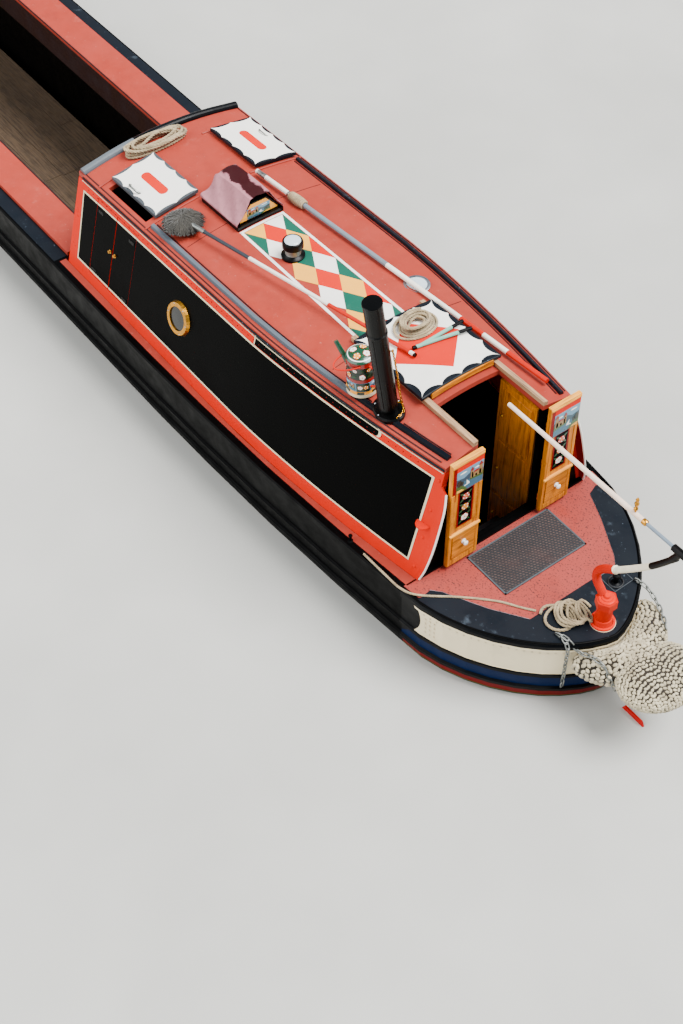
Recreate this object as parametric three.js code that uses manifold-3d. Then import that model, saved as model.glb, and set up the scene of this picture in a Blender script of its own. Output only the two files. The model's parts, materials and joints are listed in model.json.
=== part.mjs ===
// A traditional full-length motor narrowboat with an open hold, an engine room and a boatman's cabin.
// Millimetres. +X is forward, +Y is to port, +Z is up, and z = 0 is the flat bottom of the hull.
// Distances along the boat are measured forward from the rear bulkhead of the cabin, and at() turns
// them into x.

import * as THREE from "three";
import { mergeVertices } from "three/addons/utils/BufferGeometryUtils.js";
import Module from "manifold-3d";

const wasm = await Module();
wasm.setup();

// Driving dimensions
const BULKHEAD = -9500; // x of the rear bulkhead's aft side
const DECK = 1450; // height of the gunwale along the cabin and the hold
const WATER = 800; // height of the waterline, and of the plate under the counter
const GAP = 0.3; // left between pieces that touch
const CLEAR = 6; // left round pieces that move
const FAR = 30000; // a cutting block reaches past every piece
const BEAM_HALF = 1073;
const STERN_HALF = 905; // half breadth of the hull at the rear bulkhead
const COUNTER_LENGTH = 1180;
const CABIN_LENGTH = 4360;
const HOLD_START = 4420;
const HOLD_END = 17300;
const STEM = 20610;
const BOW_RISE = 350; // how much higher the gunwale is at the stem
const RISE_START = 14000;
const WALL = 60; // hull side
const BOTTOM = 110; // hull bottom
const PANEL = 45; // cabin side
const ROOF = 40;
const CAMBER = 85;
const RUDDER_AT = -1040;

const at = (forward) => BULKHEAD + forward;
const SIDES = [
  { name: "port", sign: 1 },
  { name: "stbd", sign: -1 },
];

// Materials
const paint = (color, roughness = 0.45, metalness = 0) =>
  new THREE.MeshStandardMaterial({ color, roughness, metalness });
const COLOURS = {
  black: paint(0x15171b),
  blueBlack: paint(0x232c38, 0.6),
  cream: paint(0xe4dfd0),
  salmon: paint(0xb9605a, 0.7),
  orangeRed: paint(0xd8391f),
  maroon: paint(0x571c20, 0.7),
  graining: paint(0xb9772a, 0.4),
  bareWood: paint(0xb59a7a, 0.8),
  brass: paint(0xb08a3c, 0.3, 1),
  rope: paint(0xb7a88d, 0.9),
  teal: paint(0x7fb3a3, 0.5),
  green: paint(0x1f4a38, 0.5),
  mopWool: paint(0x55534f, 1),
  castIron: paint(0x2a2c2f, 0.7, 0.5),
};

const boat = new THREE.Group();

function add(name, colour, shape) {
  const geometry = shape.isBufferGeometry ? shape : fromSolid(shape);
  const mesh = new THREE.Mesh(geometry, COLOURS[colour]);
  mesh.name = name;
  boat.add(mesh);
  return mesh;
}

// Solids for joining and cutting
function toSolid(geometry) {
  const bare = geometry.clone();
  bare.deleteAttribute("normal");
  bare.deleteAttribute("uv");
  const merged = mergeVertices(bare, 1e-3);
  return new wasm.Manifold(
    new wasm.Mesh({
      numProp: 3,
      vertProperties: new Float32Array(merged.attributes.position.array),
      triVerts: new Uint32Array(merged.index.array),
    }),
  );
}

function fromSolid(solid) {
  const mesh = solid.getMesh();
  const geometry = new THREE.BufferGeometry();
  geometry.setAttribute("position", new THREE.BufferAttribute(mesh.vertProperties, 3));
  geometry.setIndex(new THREE.BufferAttribute(mesh.triVerts, 1));
  geometry.computeVertexNormals();
  return geometry;
}

const asSolid = (shape) => (shape.isBufferGeometry ? toSolid(shape) : shape);
const join = (...shapes) => shapes.map(asSolid).reduce((all, one) => all.add(one));
const cut = (shape, ...tools) => tools.reduce((rest, tool) => rest.subtract(asSolid(tool)), asSolid(shape));

// A box from its low and high corners
function block(low, high) {
  const size = high.map((value, axis) => value - low[axis]);
  const middle = high.map((value, axis) => (value + low[axis]) / 2);
  return new THREE.BoxGeometry(...size).translate(...middle);
}

// A closed skin through rings of points; flat is the axis left out when the two ends are filled in.
// A ring that mirrors itself about the centre line is filled with strips across: mirror is 0 where its
// first point lies on the centre line, and 1 where it doesn't.
function loft(rings, flat, mirror = null) {
  const count = rings[0].length;
  const index = [];
  for (let ring = 0; ring < rings.length - 1; ring++) {
    for (let i = 0; i < count; i++) {
      const a = ring * count + i;
      const b = ring * count + ((i + 1) % count);
      index.push(a, b, b + count, a, b + count, a + count);
    }
  }
  const kept = [0, 1, 2].filter((axis) => axis !== flat);
  for (const end of [0, rings.length - 1]) {
    const contour = rings[end].map((point) => new THREE.Vector2(...kept.map((axis) => point[axis])));
    const turn = Math.sign(THREE.ShapeUtils.area(contour)) * (end === 0 ? -1 : 1);
    const faces = mirror === null ? THREE.ShapeUtils.triangulateShape(contour, []) : strips(count, mirror);
    for (const face of faces) {
      const side = Math.sign(THREE.ShapeUtils.area(face.map((i) => contour[i])));
      const corners = side === turn ? face : [...face].reverse();
      index.push(...corners.map((i) => end * count + i));
    }
  }
  return outward(rings.flat(2), index);
}

function strips(count, mirror) {
  const other = (port) => count - port - mirror;
  const faces = mirror === 0 ? [[0, 1, count - 1]] : [];
  for (let port = 1 - mirror; port < Math.floor(count / 2) - mirror; port++) {
    faces.push([port, port + 1, other(port + 1)], [port, other(port + 1), other(port)]);
  }
  return faces;
}

// A geometry from points and faces, turned so that its faces point out
function outward(position, index) {
  let volume = 0;
  const point = (i) => new THREE.Vector3(...position.slice(3 * i, 3 * i + 3));
  for (let i = 0; i < index.length; i += 3) {
    const [a, b, c] = [0, 1, 2].map((k) => point(index[i + k]));
    volume += a.dot(b.cross(c));
  }
  const geometry = new THREE.BufferGeometry();
  geometry.setAttribute("position", new THREE.Float32BufferAttribute(position, 3));
  geometry.setIndex(volume > 0 ? index : index.reverse());
  geometry.computeVertexNormals();
  return geometry;
}

// A flat plate with the outline in two axes, between two values of the third
function plate(outline, axis, low, high) {
  const place = (value) => outline.map((point) => point.toSpliced(axis, 0, value));
  return loft([place(low), place(high)], axis);
}

function circle(radius, sides) {
  return new THREE.Shape(
    Array.from({ length: sides }, (_, i) => {
      const angle = (2 * Math.PI * i) / sides;
      return new THREE.Vector2(radius * Math.cos(angle), radius * Math.sin(angle));
    }),
  );
}

// A round bar along a smooth curve through points
function bar(points, radius, steps = 24, sides = 12) {
  const extrudePath = new THREE.CatmullRomCurve3(points.map((point) => new THREE.Vector3(...point)));
  return new THREE.ExtrudeGeometry(circle(radius, sides), { steps, bevelEnabled: false, extrudePath });
}

// A straight round bar between two points, which may taper
function rod(from, to, startRadius, endRadius = startRadius, sides = 16) {
  const start = new THREE.Vector3(...from);
  const along = new THREE.Vector3(...to).sub(start);
  const geometry = new THREE.CylinderGeometry(endRadius, startRadius, along.length(), sides);
  geometry.translate(0, along.length() / 2, 0);
  const turn = new THREE.Quaternion();
  turn.setFromUnitVectors(new THREE.Vector3(0, 1, 0), along.clone().normalize());
  return geometry.applyQuaternion(turn).translate(...from);
}

// Upright and lengthways round bars on the centre line
const uprightBar = (forward, low, high, radius, end = radius, sides = 24) =>
  rod([at(forward), 0, low], [at(forward), 0, high], radius, end, sides);
const lengthwaysBar = (z, from, to, radius, end = radius, sides = 16) =>
  rod([at(from), 0, z], [at(to), 0, z], radius, end, sides);

// A turned piece standing on a point; profile rows are radius, height
function turned(profile, foot, sides = 24) {
  const points = profile.map(([radius, height]) => new THREE.Vector2(radius, height));
  return new THREE.LatheGeometry(points, sides).rotateX(Math.PI / 2).translate(...foot);
}

// Hull form: half breadth at the gunwale forward of the rear bulkhead, as distance forward, half breadth
const GUNWALE = [
  [700, 975],
  [1500, 1030],
  [2300, 1060],
  [3000, BEAM_HALF],
  [4360, BEAM_HALF],
  [RISE_START, BEAM_HALF],
  [15400, BEAM_HALF],
  [16800, 1060],
  [17600, 1020],
  [18300, 940],
  [19000, 810],
  [19600, 630],
  [20050, 430],
  [20350, 240],
  [20550, 95],
  [STEM, 40],
];
const COUNTER_STEPS = 10;

// The rounded counter, then the table above
function gunwaleLine() {
  const line = [];
  for (let step = 0; step <= COUNTER_STEPS; step++) {
    const back = Math.cos((Math.PI / 2) * (step / COUNTER_STEPS));
    line.push([-COUNTER_LENGTH * back, STERN_HALF * (1 - back ** 1.8) ** 0.65]);
  }
  return [...line, ...GUNWALE];
}

const clamp01 = (value) => Math.min(1, Math.max(0, value));
const gunwaleHeight = (forward) =>
  DECK + BOW_RISE * clamp01((forward - RISE_START) / (STEM - RISE_START)) ** 2;

function between(table, key, column = 1) {
  const next = Math.max(1, table.findIndex((row) => row[0] >= key));
  const [low, high] = [table[next - 1], table[next]];
  return low[column] + ((high[column] - low[column]) * (key - low[0])) / (high[0] - low[0]);
}
const breadth = (forward) => between(gunwaleLine(), forward);
const rimHeight = (forward) => between(GUNWALE.map(([f]) => [f, gunwaleHeight(f)]), forward);

// The upper hull's side, rows from the plate under the counter up to the gunwale:
// depth below the gunwale, how far it stands out at the counter, how far along the hull
const TOP_DEPTH = DECK - WATER;
const SIDE_PROFILE = [
  [TOP_DEPTH, -30, -42],
  [625, -22, -38],
  [545, -10, -22],
  [537, 6, 4],
  [507, 8, 4],
  [498, -10, -16],
  [376, -6, -10],
  [368, 14, 12],
  [344, 14, 12],
  [336, -2, -6],
  [74, 0, 0],
  [64, 16, 16],
  [12, 16, 16],
  [0, 6, 6],
];
const STEM_RAKE = 310;
const RAKE_START = 18300;

const COUNTER_BLEND = { length: 1500, lead: 0.35 }; // how the counter's profile passes into the hull's

function upperRing([depth, atCounter, along]) {
  const line = gunwaleLine();
  const share = depth / TOP_DEPTH;
  const port = line.map(([forward, half], i) => {
    const before = line[Math.max(0, i - 1)];
    const after = line[Math.min(line.length - 1, i + 1)];
    const slope = new THREE.Vector2(after[0] - before[0], after[1] - before[1]).normalize();
    const normal = i === 0 ? [-1, 0] : [-slope.y, slope.x];
    const mix = clamp01(forward / COUNTER_BLEND.length + COUNTER_BLEND.lead);
    const out = atCounter + (along - atCounter) * mix;
    const rake = STEM_RAKE * share * clamp01((forward - RAKE_START) / (STEM - RAKE_START));
    const z = WATER + (gunwaleHeight(forward) - WATER) * (1 - share);
    return [at(forward + normal[0] * out - rake), Math.max(0, half + normal[1] * out), z];
  });
  port[0][1] = 0;
  const starboard = port.slice(1).map(([x, y, z]) => [x, -y, z]).reverse();
  return [...port, ...starboard];
}

const upperHull = toSolid(loft(SIDE_PROFILE.map(upperRing), 2, 0));

// The lower hull with its swim: distance forward and half breadth at the bottom, the same at its top
const LOWER_HULL = [
  [-300, 30, -300, 34],
  [300, 100, 300, 160],
  [900, 220, 900, 340],
  [1600, 420, 1600, 580],
  [2400, 680, 2400, 800],
  [3200, 880, 3200, 960],
  [4200, 985, 4200, 1026],
  [15800, 985, 15800, 1026],
  [16800, 950, 16800, 1008],
  [17700, 840, 17700, 930],
  [18500, 640, 18480, 775],
  [19150, 420, 19120, 590],
  [19700, 200, 19720, 360],
  [20020, 40, 20250, 40],
];
const CHINE = { inset: 12, high: 50, share: 0.04 };
const LAP = 6;

function lowerRing(z, share, inset = 0) {
  const port = LOWER_HULL.map(([xLow, yLow, xHigh, yHigh]) => [
    at(xLow + (xHigh - xLow) * share),
    yLow + (yHigh - yLow) * share - inset,
    z,
  ]);
  return [...port, ...port.map(([x, y, height]) => [x, -y, height]).reverse()];
}

const lowerHull = toSolid(
  loft([lowerRing(0, 0, CHINE.inset), lowerRing(CHINE.high, CHINE.share), lowerRing(WATER + LAP, 1)], 2, 1),
);

// Cabin form, in distance forward of the rear bulkhead
const CURVE_START = 2000; // the sides run straight forward of this
const CABIN = { foot: 968, footIn: 195, top: 740, topIn: 199, height: 816, rise: 163 };
const curveIn = (forward) => clamp01((CURVE_START - forward) / CURVE_START) ** 1.6;
const cabinFoot = (forward) => CABIN.foot - CABIN.footIn * curveIn(forward);
const cabinTop = (forward) => CABIN.top - CABIN.topIn * curveIn(forward);
const cabinHeight = (forward) => CABIN.height + CABIN.rise * (1 - forward / CABIN_LENGTH);
const roofRise = (forward, y) => CAMBER * (1 - (y / cabinTop(forward)) ** 2);
const roofZ = (forward, y) => DECK + cabinHeight(forward) + roofRise(forward, y);
const ROOF_SLOPE = -CABIN.rise / CABIN_LENGTH; // rise of the roof for each millimetre forward
const CABIN_STATIONS = [-80, 0, 250, 500, 750, 1000, 1300, 1600, 2000, 3200, CABIN_LENGTH];

// Hollows inside the hull
const CABIN_SOLE = 600;
function swimHollow() {
  const rows = LOWER_HULL.filter(([forward]) => forward > 0 && forward < HOLD_END);
  const stations = [...rows.map(([forward]) => forward), HOLD_END];
  const port = stations.map((forward) => [at(forward), between(LOWER_HULL, forward) - WALL]);
  return plate([...port, ...mirrored(port)], 2, BOTTOM, WATER + 60);
}

// The points of an outline on the other side of the centre line, in turned order
function mirrored(points) {
  return points.map(([x, y]) => [x, -y]).reverse();
}

function innerHull(from, to, halfAt, low, high) {
  const stations = [from, ...GUNWALE.map(([forward]) => forward).filter((f) => f > from && f < to), to];
  const port = stations.map((forward) => [at(forward), halfAt(forward)]);
  return plate([...port, ...mirrored(port)], 2, low, high);
}

const COUNTER_FRONT = 0;
const HULL_END = 60;
const GUNWALE_PLATE = 40;
const GUNWALE_INNER = 900;
const ABOVE = 600;
const HOLLOW_FOOT = WATER + 30;
const GUARD_DEPTH = 42; // how far the hull's side lies inside the gunwale line at its foot
const HOLD_AFT = HOLD_START - 40;
const cabinHalf = (forward) => cabinFoot(Math.min(forward, CABIN_LENGTH)) - PANEL;
const holdHalf = (forward) => breadth(forward) - GUARD_DEPTH - WALL;
const cabinHollow = innerHull(HULL_END, HOLD_START - 20, cabinHalf, HOLLOW_FOOT, DECK + ABOVE);
const holdHollow = innerHull(HOLD_AFT, HOLD_END, holdHalf, HOLLOW_FOOT, DECK - GUNWALE_PLATE);
const holdMouth = innerHull(HOLD_AFT, HOLD_END, () => GUNWALE_INNER, DECK - 60, DECK + ABOVE);

// Forepeak, under its hatch in the fore deck
const HATCH = { from: 18000, to: 18520, half: 270 };
const FOREPEAK_FLOOR = 700;
const hatchWell = (low) =>
  block([at(HATCH.from), -HATCH.half, low], [at(HATCH.to), HATCH.half, DECK + ABOVE]);

// Stern tube and shaft line
const SHAFT_Z = 400;
const POST_AT = -300;

function hull() {
  const aftOfBulkhead = block([-FAR, -FAR, WATER - GAP], [at(COUNTER_FRONT), FAR, FAR]);
  const shell = cut(join(upperHull, lowerHull), aftOfBulkhead);
  const hollows = [swimHollow(), cabinHollow, holdHollow, holdMouth, hatchWell(FOREPEAK_FLOOR)];
  const hollow = cut(shell, ...hollows);
  const posts = GUNWALE_STUDS.map((row) => stud(...row));
  add("hull_shell", "black", cut(join(hollow, skegBar(), ...posts), skegBore()));
}

function counter() {
  const forwardHalf = block([at(COUNTER_FRONT - GAP), -FAR, -FAR], [FAR, FAR, FAR]);
  const trunk = uprightBar(RUDDER_AT, WATER - 50, DECK + 50, STOCK.radius + CLEAR);
  const body = cut(upperHull, forwardHalf, trunk);
  add("counter", "blueBlack", join(body, stud(...STERN_STUD)));
}

// Tread plate on the counter
const TREAD = { from: -60, to: -475, half: 375, thick: 8 };
function treadPlate() {
  const low = [at(TREAD.to), -TREAD.half, DECK + GAP];
  add("counter_tread_plate", "castIron", block(low, [at(TREAD.from), TREAD.half, DECK + TREAD.thick]));
}

// Skeg: the bottom bar carried aft under the propeller, with the cup that the rudder stock turns in
const SKEG = { to: -1150, half: 45, high: 50, cup: 52, cupHigh: 25 };
function skegBar() {
  const bottomBar = block([at(SKEG.to), -SKEG.half, 0], [at(POST_AT + 200), SKEG.half, SKEG.high]);
  const cup = uprightBar(RUDDER_AT, SKEG.high - 5, SKEG.high + SKEG.cupHigh, SKEG.cup, SKEG.cup - 4);
  return join(bottomBar, cup);
}
const skegBore = () => uprightBar(RUDDER_AT, SKEG.high - 4, SKEG.high + 2 * SKEG.cupHigh, STOCK.radius + 1);

// Side decks along the hold, each a plank, and the coaming board that hangs below its inner edge
const SIDE_DECK = { inner: 626, outer: 938, rise: 35, board: 26, drop: 260 };
const SIDE_DECK_STATIONS = [HOLD_START + 5, RISE_START, 15400, 16800];
function sideDecks() {
  const { inner, outer, rise, board, drop } = SIDE_DECK;
  // Columns: kind, colour, near side, far side, foot, head
  const strips = [
    ["side_deck", "salmon", inner, outer, GAP, rise],
    ["coaming", "maroon", inner, inner + board, -drop, 0],
  ];
  for (const { name, sign } of SIDES) {
    for (const [kind, colour, near, far, foot, head] of strips) {
      const corners = [[near, foot], [far, foot], [far, head], [near, head]];
      const rings = SIDE_DECK_STATIONS.map((forward) =>
        corners.map(([y, up]) => [at(forward), sign * y, rimHeight(forward) + up]),
      );
      add(`${kind}_${name}`, colour, loft(rings, 0));
    }
  }
}

const HOLD_FLOOR = { from: HOLD_START + 60, to: 16700, half: 880, high: 180 };
function holdFloor() {
  const { from, to, half, high } = HOLD_FLOOR;
  add("hold_floor", "bareWood", block([at(from), -half, BOTTOM + GAP], [at(to), half, high]));
}

// Cross beams over the hold, resting on the side decks
const BEAM = { forward: [8600, 12900], wide: 90, deep: 70, reach: SIDE_DECK.inner + 60 };
function crossBeams() {
  const foot = DECK + SIDE_DECK.rise;
  BEAM.forward.forEach((forward, i) => {
    const [aft, fore] = [-1, 1].map((end) => at(forward) + (end * BEAM.wide) / 2);
    const beam = block([aft, -BEAM.reach, foot + GAP], [fore, BEAM.reach, foot + BEAM.deep]);
    add(`hold_beam_${i + 1}`, "salmon", beam);
  });
}

// Fore deck, following the rise of the gunwale, with a hatch
const FORE_DECK = { from: SIDE_DECK_STATIONS.at(-1) + 4, to: 20350, inset: 44, thick: 28, crown: 25 };
const HATCH_RIM = { wide: 40, high: 60 };
const HATCH_LID = 30;
function foreDeck() {
  const { from, to, inset, thick, crown } = FORE_DECK;
  const stations = [from, ...GUNWALE.map(([f]) => f).filter((f) => f > from && f <= to)];
  const rings = stations.map((forward) => {
    const half = breadth(forward) - inset;
    const low = rimHeight(forward) + GAP;
    const high = low + thick;
    const ring = [[half, low], [half, high], [0, high + crown], [-half, high], [-half, low]];
    return ring.map(([y, z]) => [at(forward), y, z]);
  });
  const top = rimHeight(HATCH.to) + thick + HATCH_RIM.high;
  const roundHatch = (low, high) => {
    const half = HATCH.half + HATCH_RIM.wide;
    return block([at(HATCH.from - HATCH_RIM.wide), -half, low], [at(HATCH.to + HATCH_RIM.wide), half, high]);
  };
  const rim = roundHatch(rimHeight(HATCH.to + HATCH_RIM.wide) + 2, top);
  add("fore_deck", "salmon", cut(join(loft(rings, 0), rim), hatchWell(DECK)));
  add("fore_hatch", "salmon", roundHatch(top + CLEAR, top + CLEAR + HATCH_LID));
}

// Mooring studs: distance forward, y, foot height, radius, height
const FORE_STUD = [19600, 0, rimHeight(19600) + FORE_DECK.thick + 36, 45, 240];
const STERN_STUD = [-850, -300, DECK - 4, 30, 94];
const GUNWALE_STUDS = SIDES.map(({ sign }) => [560, sign * 925, DECK - 4, 16, 64]);
function stud(forward, y, foot, radius, height) {
  const neck = radius * 0.62;
  const profile = [
    [0, 0],
    [radius * 1.5, 0],
    [radius * 1.5, radius * 0.25],
    [neck, radius * 0.6],
    [neck, height - radius * 0.9],
    [radius, height - radius * 0.6],
    [radius * 0.8, height],
    [0, height + radius * 0.15],
  ];
  return turned(profile, [at(forward), y, foot], 20);
}

// Cabin sides. The aft edge of a side, from the roof down: distance forward, height. Below the
// folded door's corner it stands out behind the bulkhead as a thin wing.
const WING = [
  [22, DECK + 979],
  [22, DECK + 815],
  [-30, DECK + 785],
  [-56, DECK + 640],
  [-60, DECK + 330],
  [-40, DECK + 120],
  [-8, DECK],
];
const WING_THICK = 12;
// Engine room doors in each side: three upright edges, and their foot and head above the gunwale
const ENGINE_DOOR = { edges: [3480, 3765, 4050], foot: 95, head: 745 };
const LEAF_GAP = 10;
const PORTHOLE = { forward: 2800, up: 440, radius: 105, rim: 142 };

// The unit vector up the cabin side and the one out of it, where the side is straight
const LEAN = new THREE.Vector2(cabinTop(3000) - cabinFoot(3000), cabinHeight(3000)).normalize();
const sideUp = (sign) => new THREE.Vector3(0, sign * LEAN.x, LEAN.y);
const sideOut = (sign) => new THREE.Vector3(0, sign * LEAN.y, -LEAN.x);
function sideY(forward, up) {
  const [foot, top] = [cabinFoot(forward), cabinTop(forward)];
  return foot + ((top - foot) * up) / cabinHeight(forward);
}

// A sloping prism on the cabin side, between two stations and two heights, from depth in to depth out
function onSide(sign, from, to, low, high, inner, outer) {
  const rings = [from, to].map((forward) =>
    [
      [low, inner],
      [low, outer],
      [high, outer],
      [high, inner],
    ].map(([up, out]) => {
      const normal = sideOut(sign);
      return [at(forward), sign * sideY(forward, up) + normal.y * out, DECK + up + normal.z * out];
    }),
  );
  return loft(rings, 0);
}

const ROOF_DROP = ROOF + 6; // the side stops this far below the roof's upper edge
const THROUGH = 150; // past both faces of a side
const CABIN_CLEAR = 1200; // height above the deck that clears the cabin
function cabinSide({ name, sign }) {
  const rings = CABIN_STATIONS.map((forward) => {
    const f = Math.max(0, forward);
    const high = cabinHeight(f) - ROOF_DROP;
    const [foot, top] = [cabinFoot(f), sideY(f, high)];
    return [
      [foot, GAP],
      [top, high],
      [top - PANEL, high],
      [foot - PANEL, GAP],
    ].map(([y, up]) => [at(forward), sign * y, DECK + up]);
  });
  const edgeLine = WING.map(([f, z]) => [at(f), z]).reverse();
  const head = [edgeLine.at(-1)[0], DECK + CABIN_CLEAR];
  const edge = plate([[-FAR, 0], ...edgeLine, head, [-FAR, head[1]]], 1, -FAR, FAR);
  const [first, , last] = ENGINE_DOOR.edges;
  const heights = [ENGINE_DOOR.foot - CLEAR, ENGINE_DOOR.head + CLEAR];
  const doorway = onSide(sign, first - CLEAR, last + CLEAR, ...heights, -THROUGH, THROUGH);
  const hole = rod(...portholeAxis(sign, -THROUGH, THROUGH), PORTHOLE.radius, PORTHOLE.radius, 32);
  add(`cabin_side_${name}`, "orangeRed", cut(loft(rings, 0), edge, wingInside(sign), doorway, hole));
}

// The space inside the wings, back from the bulkhead
function wingInside(sign) {
  const rings = [-90, REAR_PLATE.from - 1].map((forward) =>
    [
      [0, -20],
      [sideY(0, -20) - WING_THICK, -20],
      [sideY(0, 1000) - WING_THICK, 1000],
      [0, 1000],
    ].map(([y, up]) => [at(forward), sign * y, DECK + up]),
  );
  return loft(rings, 0);
}

function portholeAxis(sign, inner, outer) {
  const { forward, up } = PORTHOLE;
  const centre = new THREE.Vector3(at(forward), sign * sideY(forward, up), DECK + up);
  return [inner, outer].map((out) => centre.clone().addScaledVector(sideOut(sign), out).toArray());
}

function portholes() {
  for (const { name, sign } of SIDES) {
    const ring = rod(...portholeAxis(sign, 0.8, 26), PORTHOLE.rim, PORTHOLE.rim - 12, 32);
    const recess = rod(...portholeAxis(sign, 12, 40), PORTHOLE.radius - 8, PORTHOLE.radius - 8, 32);
    add(`porthole_${name}`, "brass", cut(ring, recess));
  }
}

// Engine room doors, two leaves to a side, each hinged on its outer upright edge
function engineDoors() {
  const { edges, foot, head } = ENGINE_DOOR;
  const leaves = [
    ["aft", edges[0], edges[1] - LEAF_GAP / 2],
    ["fore", edges[1] + LEAF_GAP / 2, edges[2]],
  ];
  for (const { name, sign } of SIDES) {
    for (const [place, from, to] of leaves) {
      add(`engine_door_${name}_${place}`, "black", onSide(sign, from, to, foot, head, -PANEL + 6, -1));
    }
  }
}

// Roof: a cambered slab with openings for the two engine room slides and the rear hatch
const SLIDE = { from: 3410, to: 4045, inner: 305, outer: 700, thick: 26, lift: 14, open: 75 };
const REAR_HATCH = { to: 470, half: 284 };
const ROOF_STEPS = 8;
const ROOF_AFT = 20;

function roofStrip(forward, from, to, low, high, steps = ROOF_STEPS) {
  const ys = Array.from({ length: steps + 1 }, (_, i) => from + ((to - from) * i) / steps);
  const top = ys.map((y) => [at(forward), y, roofZ(forward, y) + high]);
  const bottom = ys.map((y) => [at(forward), y, roofZ(forward, y) + low]).reverse();
  return [...top, ...bottom];
}

function cabinRoof() {
  const stations = [ROOF_AFT, ...CABIN_STATIONS.slice(2, -1), CABIN_LENGTH];
  const rings = stations.map((f) => roofStrip(f, -cabinTop(f) - 8, cabinTop(f) + 8, -ROOF, 0, 12));
  const holes = SIDES.map(({ sign }) => {
    const ys = [SLIDE.inner + 40, SLIDE.outer - 10].map((y) => y * sign).sort((a, b) => a - b);
    return block([at(SLIDE.from + 45), ys[0], DECK], [at(SLIDE.to - 45), ys[1], FAR]);
  });
  const rearOpening = block([-FAR, -REAR_HATCH.half, DECK], [at(REAR_HATCH.to), REAR_HATCH.half, FAR]);
  add("cabin_roof", "salmon", cut(loft(rings, 0), ...holes, rearOpening));
}

// Everything under the roof's upper face, raised a little: pieces that lie on the roof are cut to it
function underRoof(up = 1.5) {
  const stations = [-200, ...CABIN_STATIONS.slice(1), CABIN_LENGTH + 200];
  const rings = stations.map((f) => roofStrip(f, -800, 800, -400, up, 16));
  return toSolid(loft(rings, 0));
}

// Half-round beam along the roof's front edge
const CAP_BEAM = { forward: CABIN_LENGTH - 45, half: CABIN.top - 5, radius: 38, rise: 3 };
function capBeam() {
  const { forward, half, radius, rise } = CAP_BEAM;
  const ys = [-1, -0.5, 0, 0.5, 1].map((share) => share * half);
  const round = bar(ys.map((y) => [at(forward), y, roofZ(forward, y) + rise]), radius, 12, 16);
  add("roof_cap_beam", "black", cut(round, underRoof(1)));
}

const FRONT_PLATE = { from: CABIN_LENGTH - 50, to: CABIN_LENGTH - 10, foot: 200 };
function frontBulkhead() {
  const { from, to, foot } = FRONT_PLATE;
  const half = cabinFoot(to) - PANEL - 5;
  const top = sideY(to, cabinHeight(to) - ROOF_DROP) - PANEL - 5;
  const arch = [1, 0.5, 0, -0.5, -1].map((share) => [share * top, roofZ(to, share * top) - ROOF - 4]);
  const outline = [[-half, foot], [half, foot], [half, DECK + 2], ...arch, [-half, DECK + 2]];
  add("front_bulkhead", "maroon", plate(outline, 0, at(from), at(to)));
}

// Rear bulkhead with its doorway, between the wings of the cabin sides
const DOORWAY = { half: 289, sill: 28 };
const REAR_PLATE = { from: 20, to: 58 };
function rearBulkhead() {
  const head = cabinHeight(0) - ROOF_DROP;
  const [foot, top] = [cabinFoot(0) - PANEL - 2, sideY(0, head) - PANEL - 2];
  const ys = [1, 0.66, 0.33, 0, -0.33, -0.66, -1].map((share) => share * top);
  const arch = ys.map((y) => [y, roofZ(0, y) - ROOF_DROP]);
  const outline = [[-foot, DECK + GAP], [foot, DECK + GAP], ...arch];
  const doorway = block([-FAR, -DOORWAY.half, DECK + DOORWAY.sill], [FAR, DOORWAY.half, FAR]);
  add("rear_bulkhead", "black", cut(plate(outline, 0, at(REAR_PLATE.from), at(REAR_PLATE.to)), doorway));
}

// Rear doors, stored open and folded back: y of the near and far edge, heights above the deck
const REAR_DOOR = { near: 291, far: 561, thick: 30, face: -58, foot: 34, head: 1055 };
function rearDoors() {
  const { near, far, thick, face, foot, head } = REAR_DOOR;
  for (const { name, sign } of SIDES) {
    const ys = [sign * near, sign * far].sort((a, b) => a - b);
    const leaf = block([at(face), ys[0], DECK + foot], [at(face + thick), ys[1], DECK + head]);
    add(`rear_door_${name}`, "graining", leaf);
  }
}

// Cabin sole, the step inside the doors and a cupboard panel beside them
function cabinInside() {
  const stations = [340, 900, 1600, 2400, 3150];
  const port = stations.map((forward) => [at(forward), between(LOWER_HULL, forward) - WALL - 4]);
  const sole = plate([...port, ...mirrored(port)], 2, CABIN_SOLE - 30, CABIN_SOLE);
  add("cabin_sole", "bareWood", sole);
  // name, from, to, starboard edge, port edge, low, high
  const joinery = [
    ["cabin_step", 62, 330, -270, 270, HOLLOW_FOOT + 2, 1090],
    ["cabin_cupboard", 90, 470, -330, -308, HOLLOW_FOOT + 2, DECK + 930],
  ];
  for (const [name, from, to, starboard, portEdge, low, high] of joinery) {
    add(name, "graining", block([at(from), starboard, low], [at(to), portEdge, high]));
  }
}

const ENGINE = { from: 3300, to: 4150, half: 300, high: 1150 };
function engine() {
  const { from, to, half, high } = ENGINE;
  add("engine_block", "green", block([at(from), -half, BOTTOM + GAP], [at(to), half, high]));
}

// Slides over the engine room openings, tilted with the roof; port is stored a little open
function engineSlides() {
  const { from, to, inner, outer, thick, lift, open } = SLIDE;
  const middle = (inner + outer) / 2;
  const chord = (roofZ(to, outer) - roofZ(to, inner)) / (outer - inner);
  for (const { name, sign } of SIDES) {
    const shift = sign > 0 ? open : 0;
    const [near, far] = [inner - shift, outer - shift];
    const rings = [from, to].map((forward) =>
      [
        [near, lift],
        [far, lift],
        [far, lift + thick],
        [near, lift + thick],
      ].map(([y, up]) => [at(forward), sign * y, roofZ(forward, middle) + chord * (y - middle) + up]),
    );
    add(`engine_slide_${name}`, "cream", loft(rings, 0));
  }
}

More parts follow.
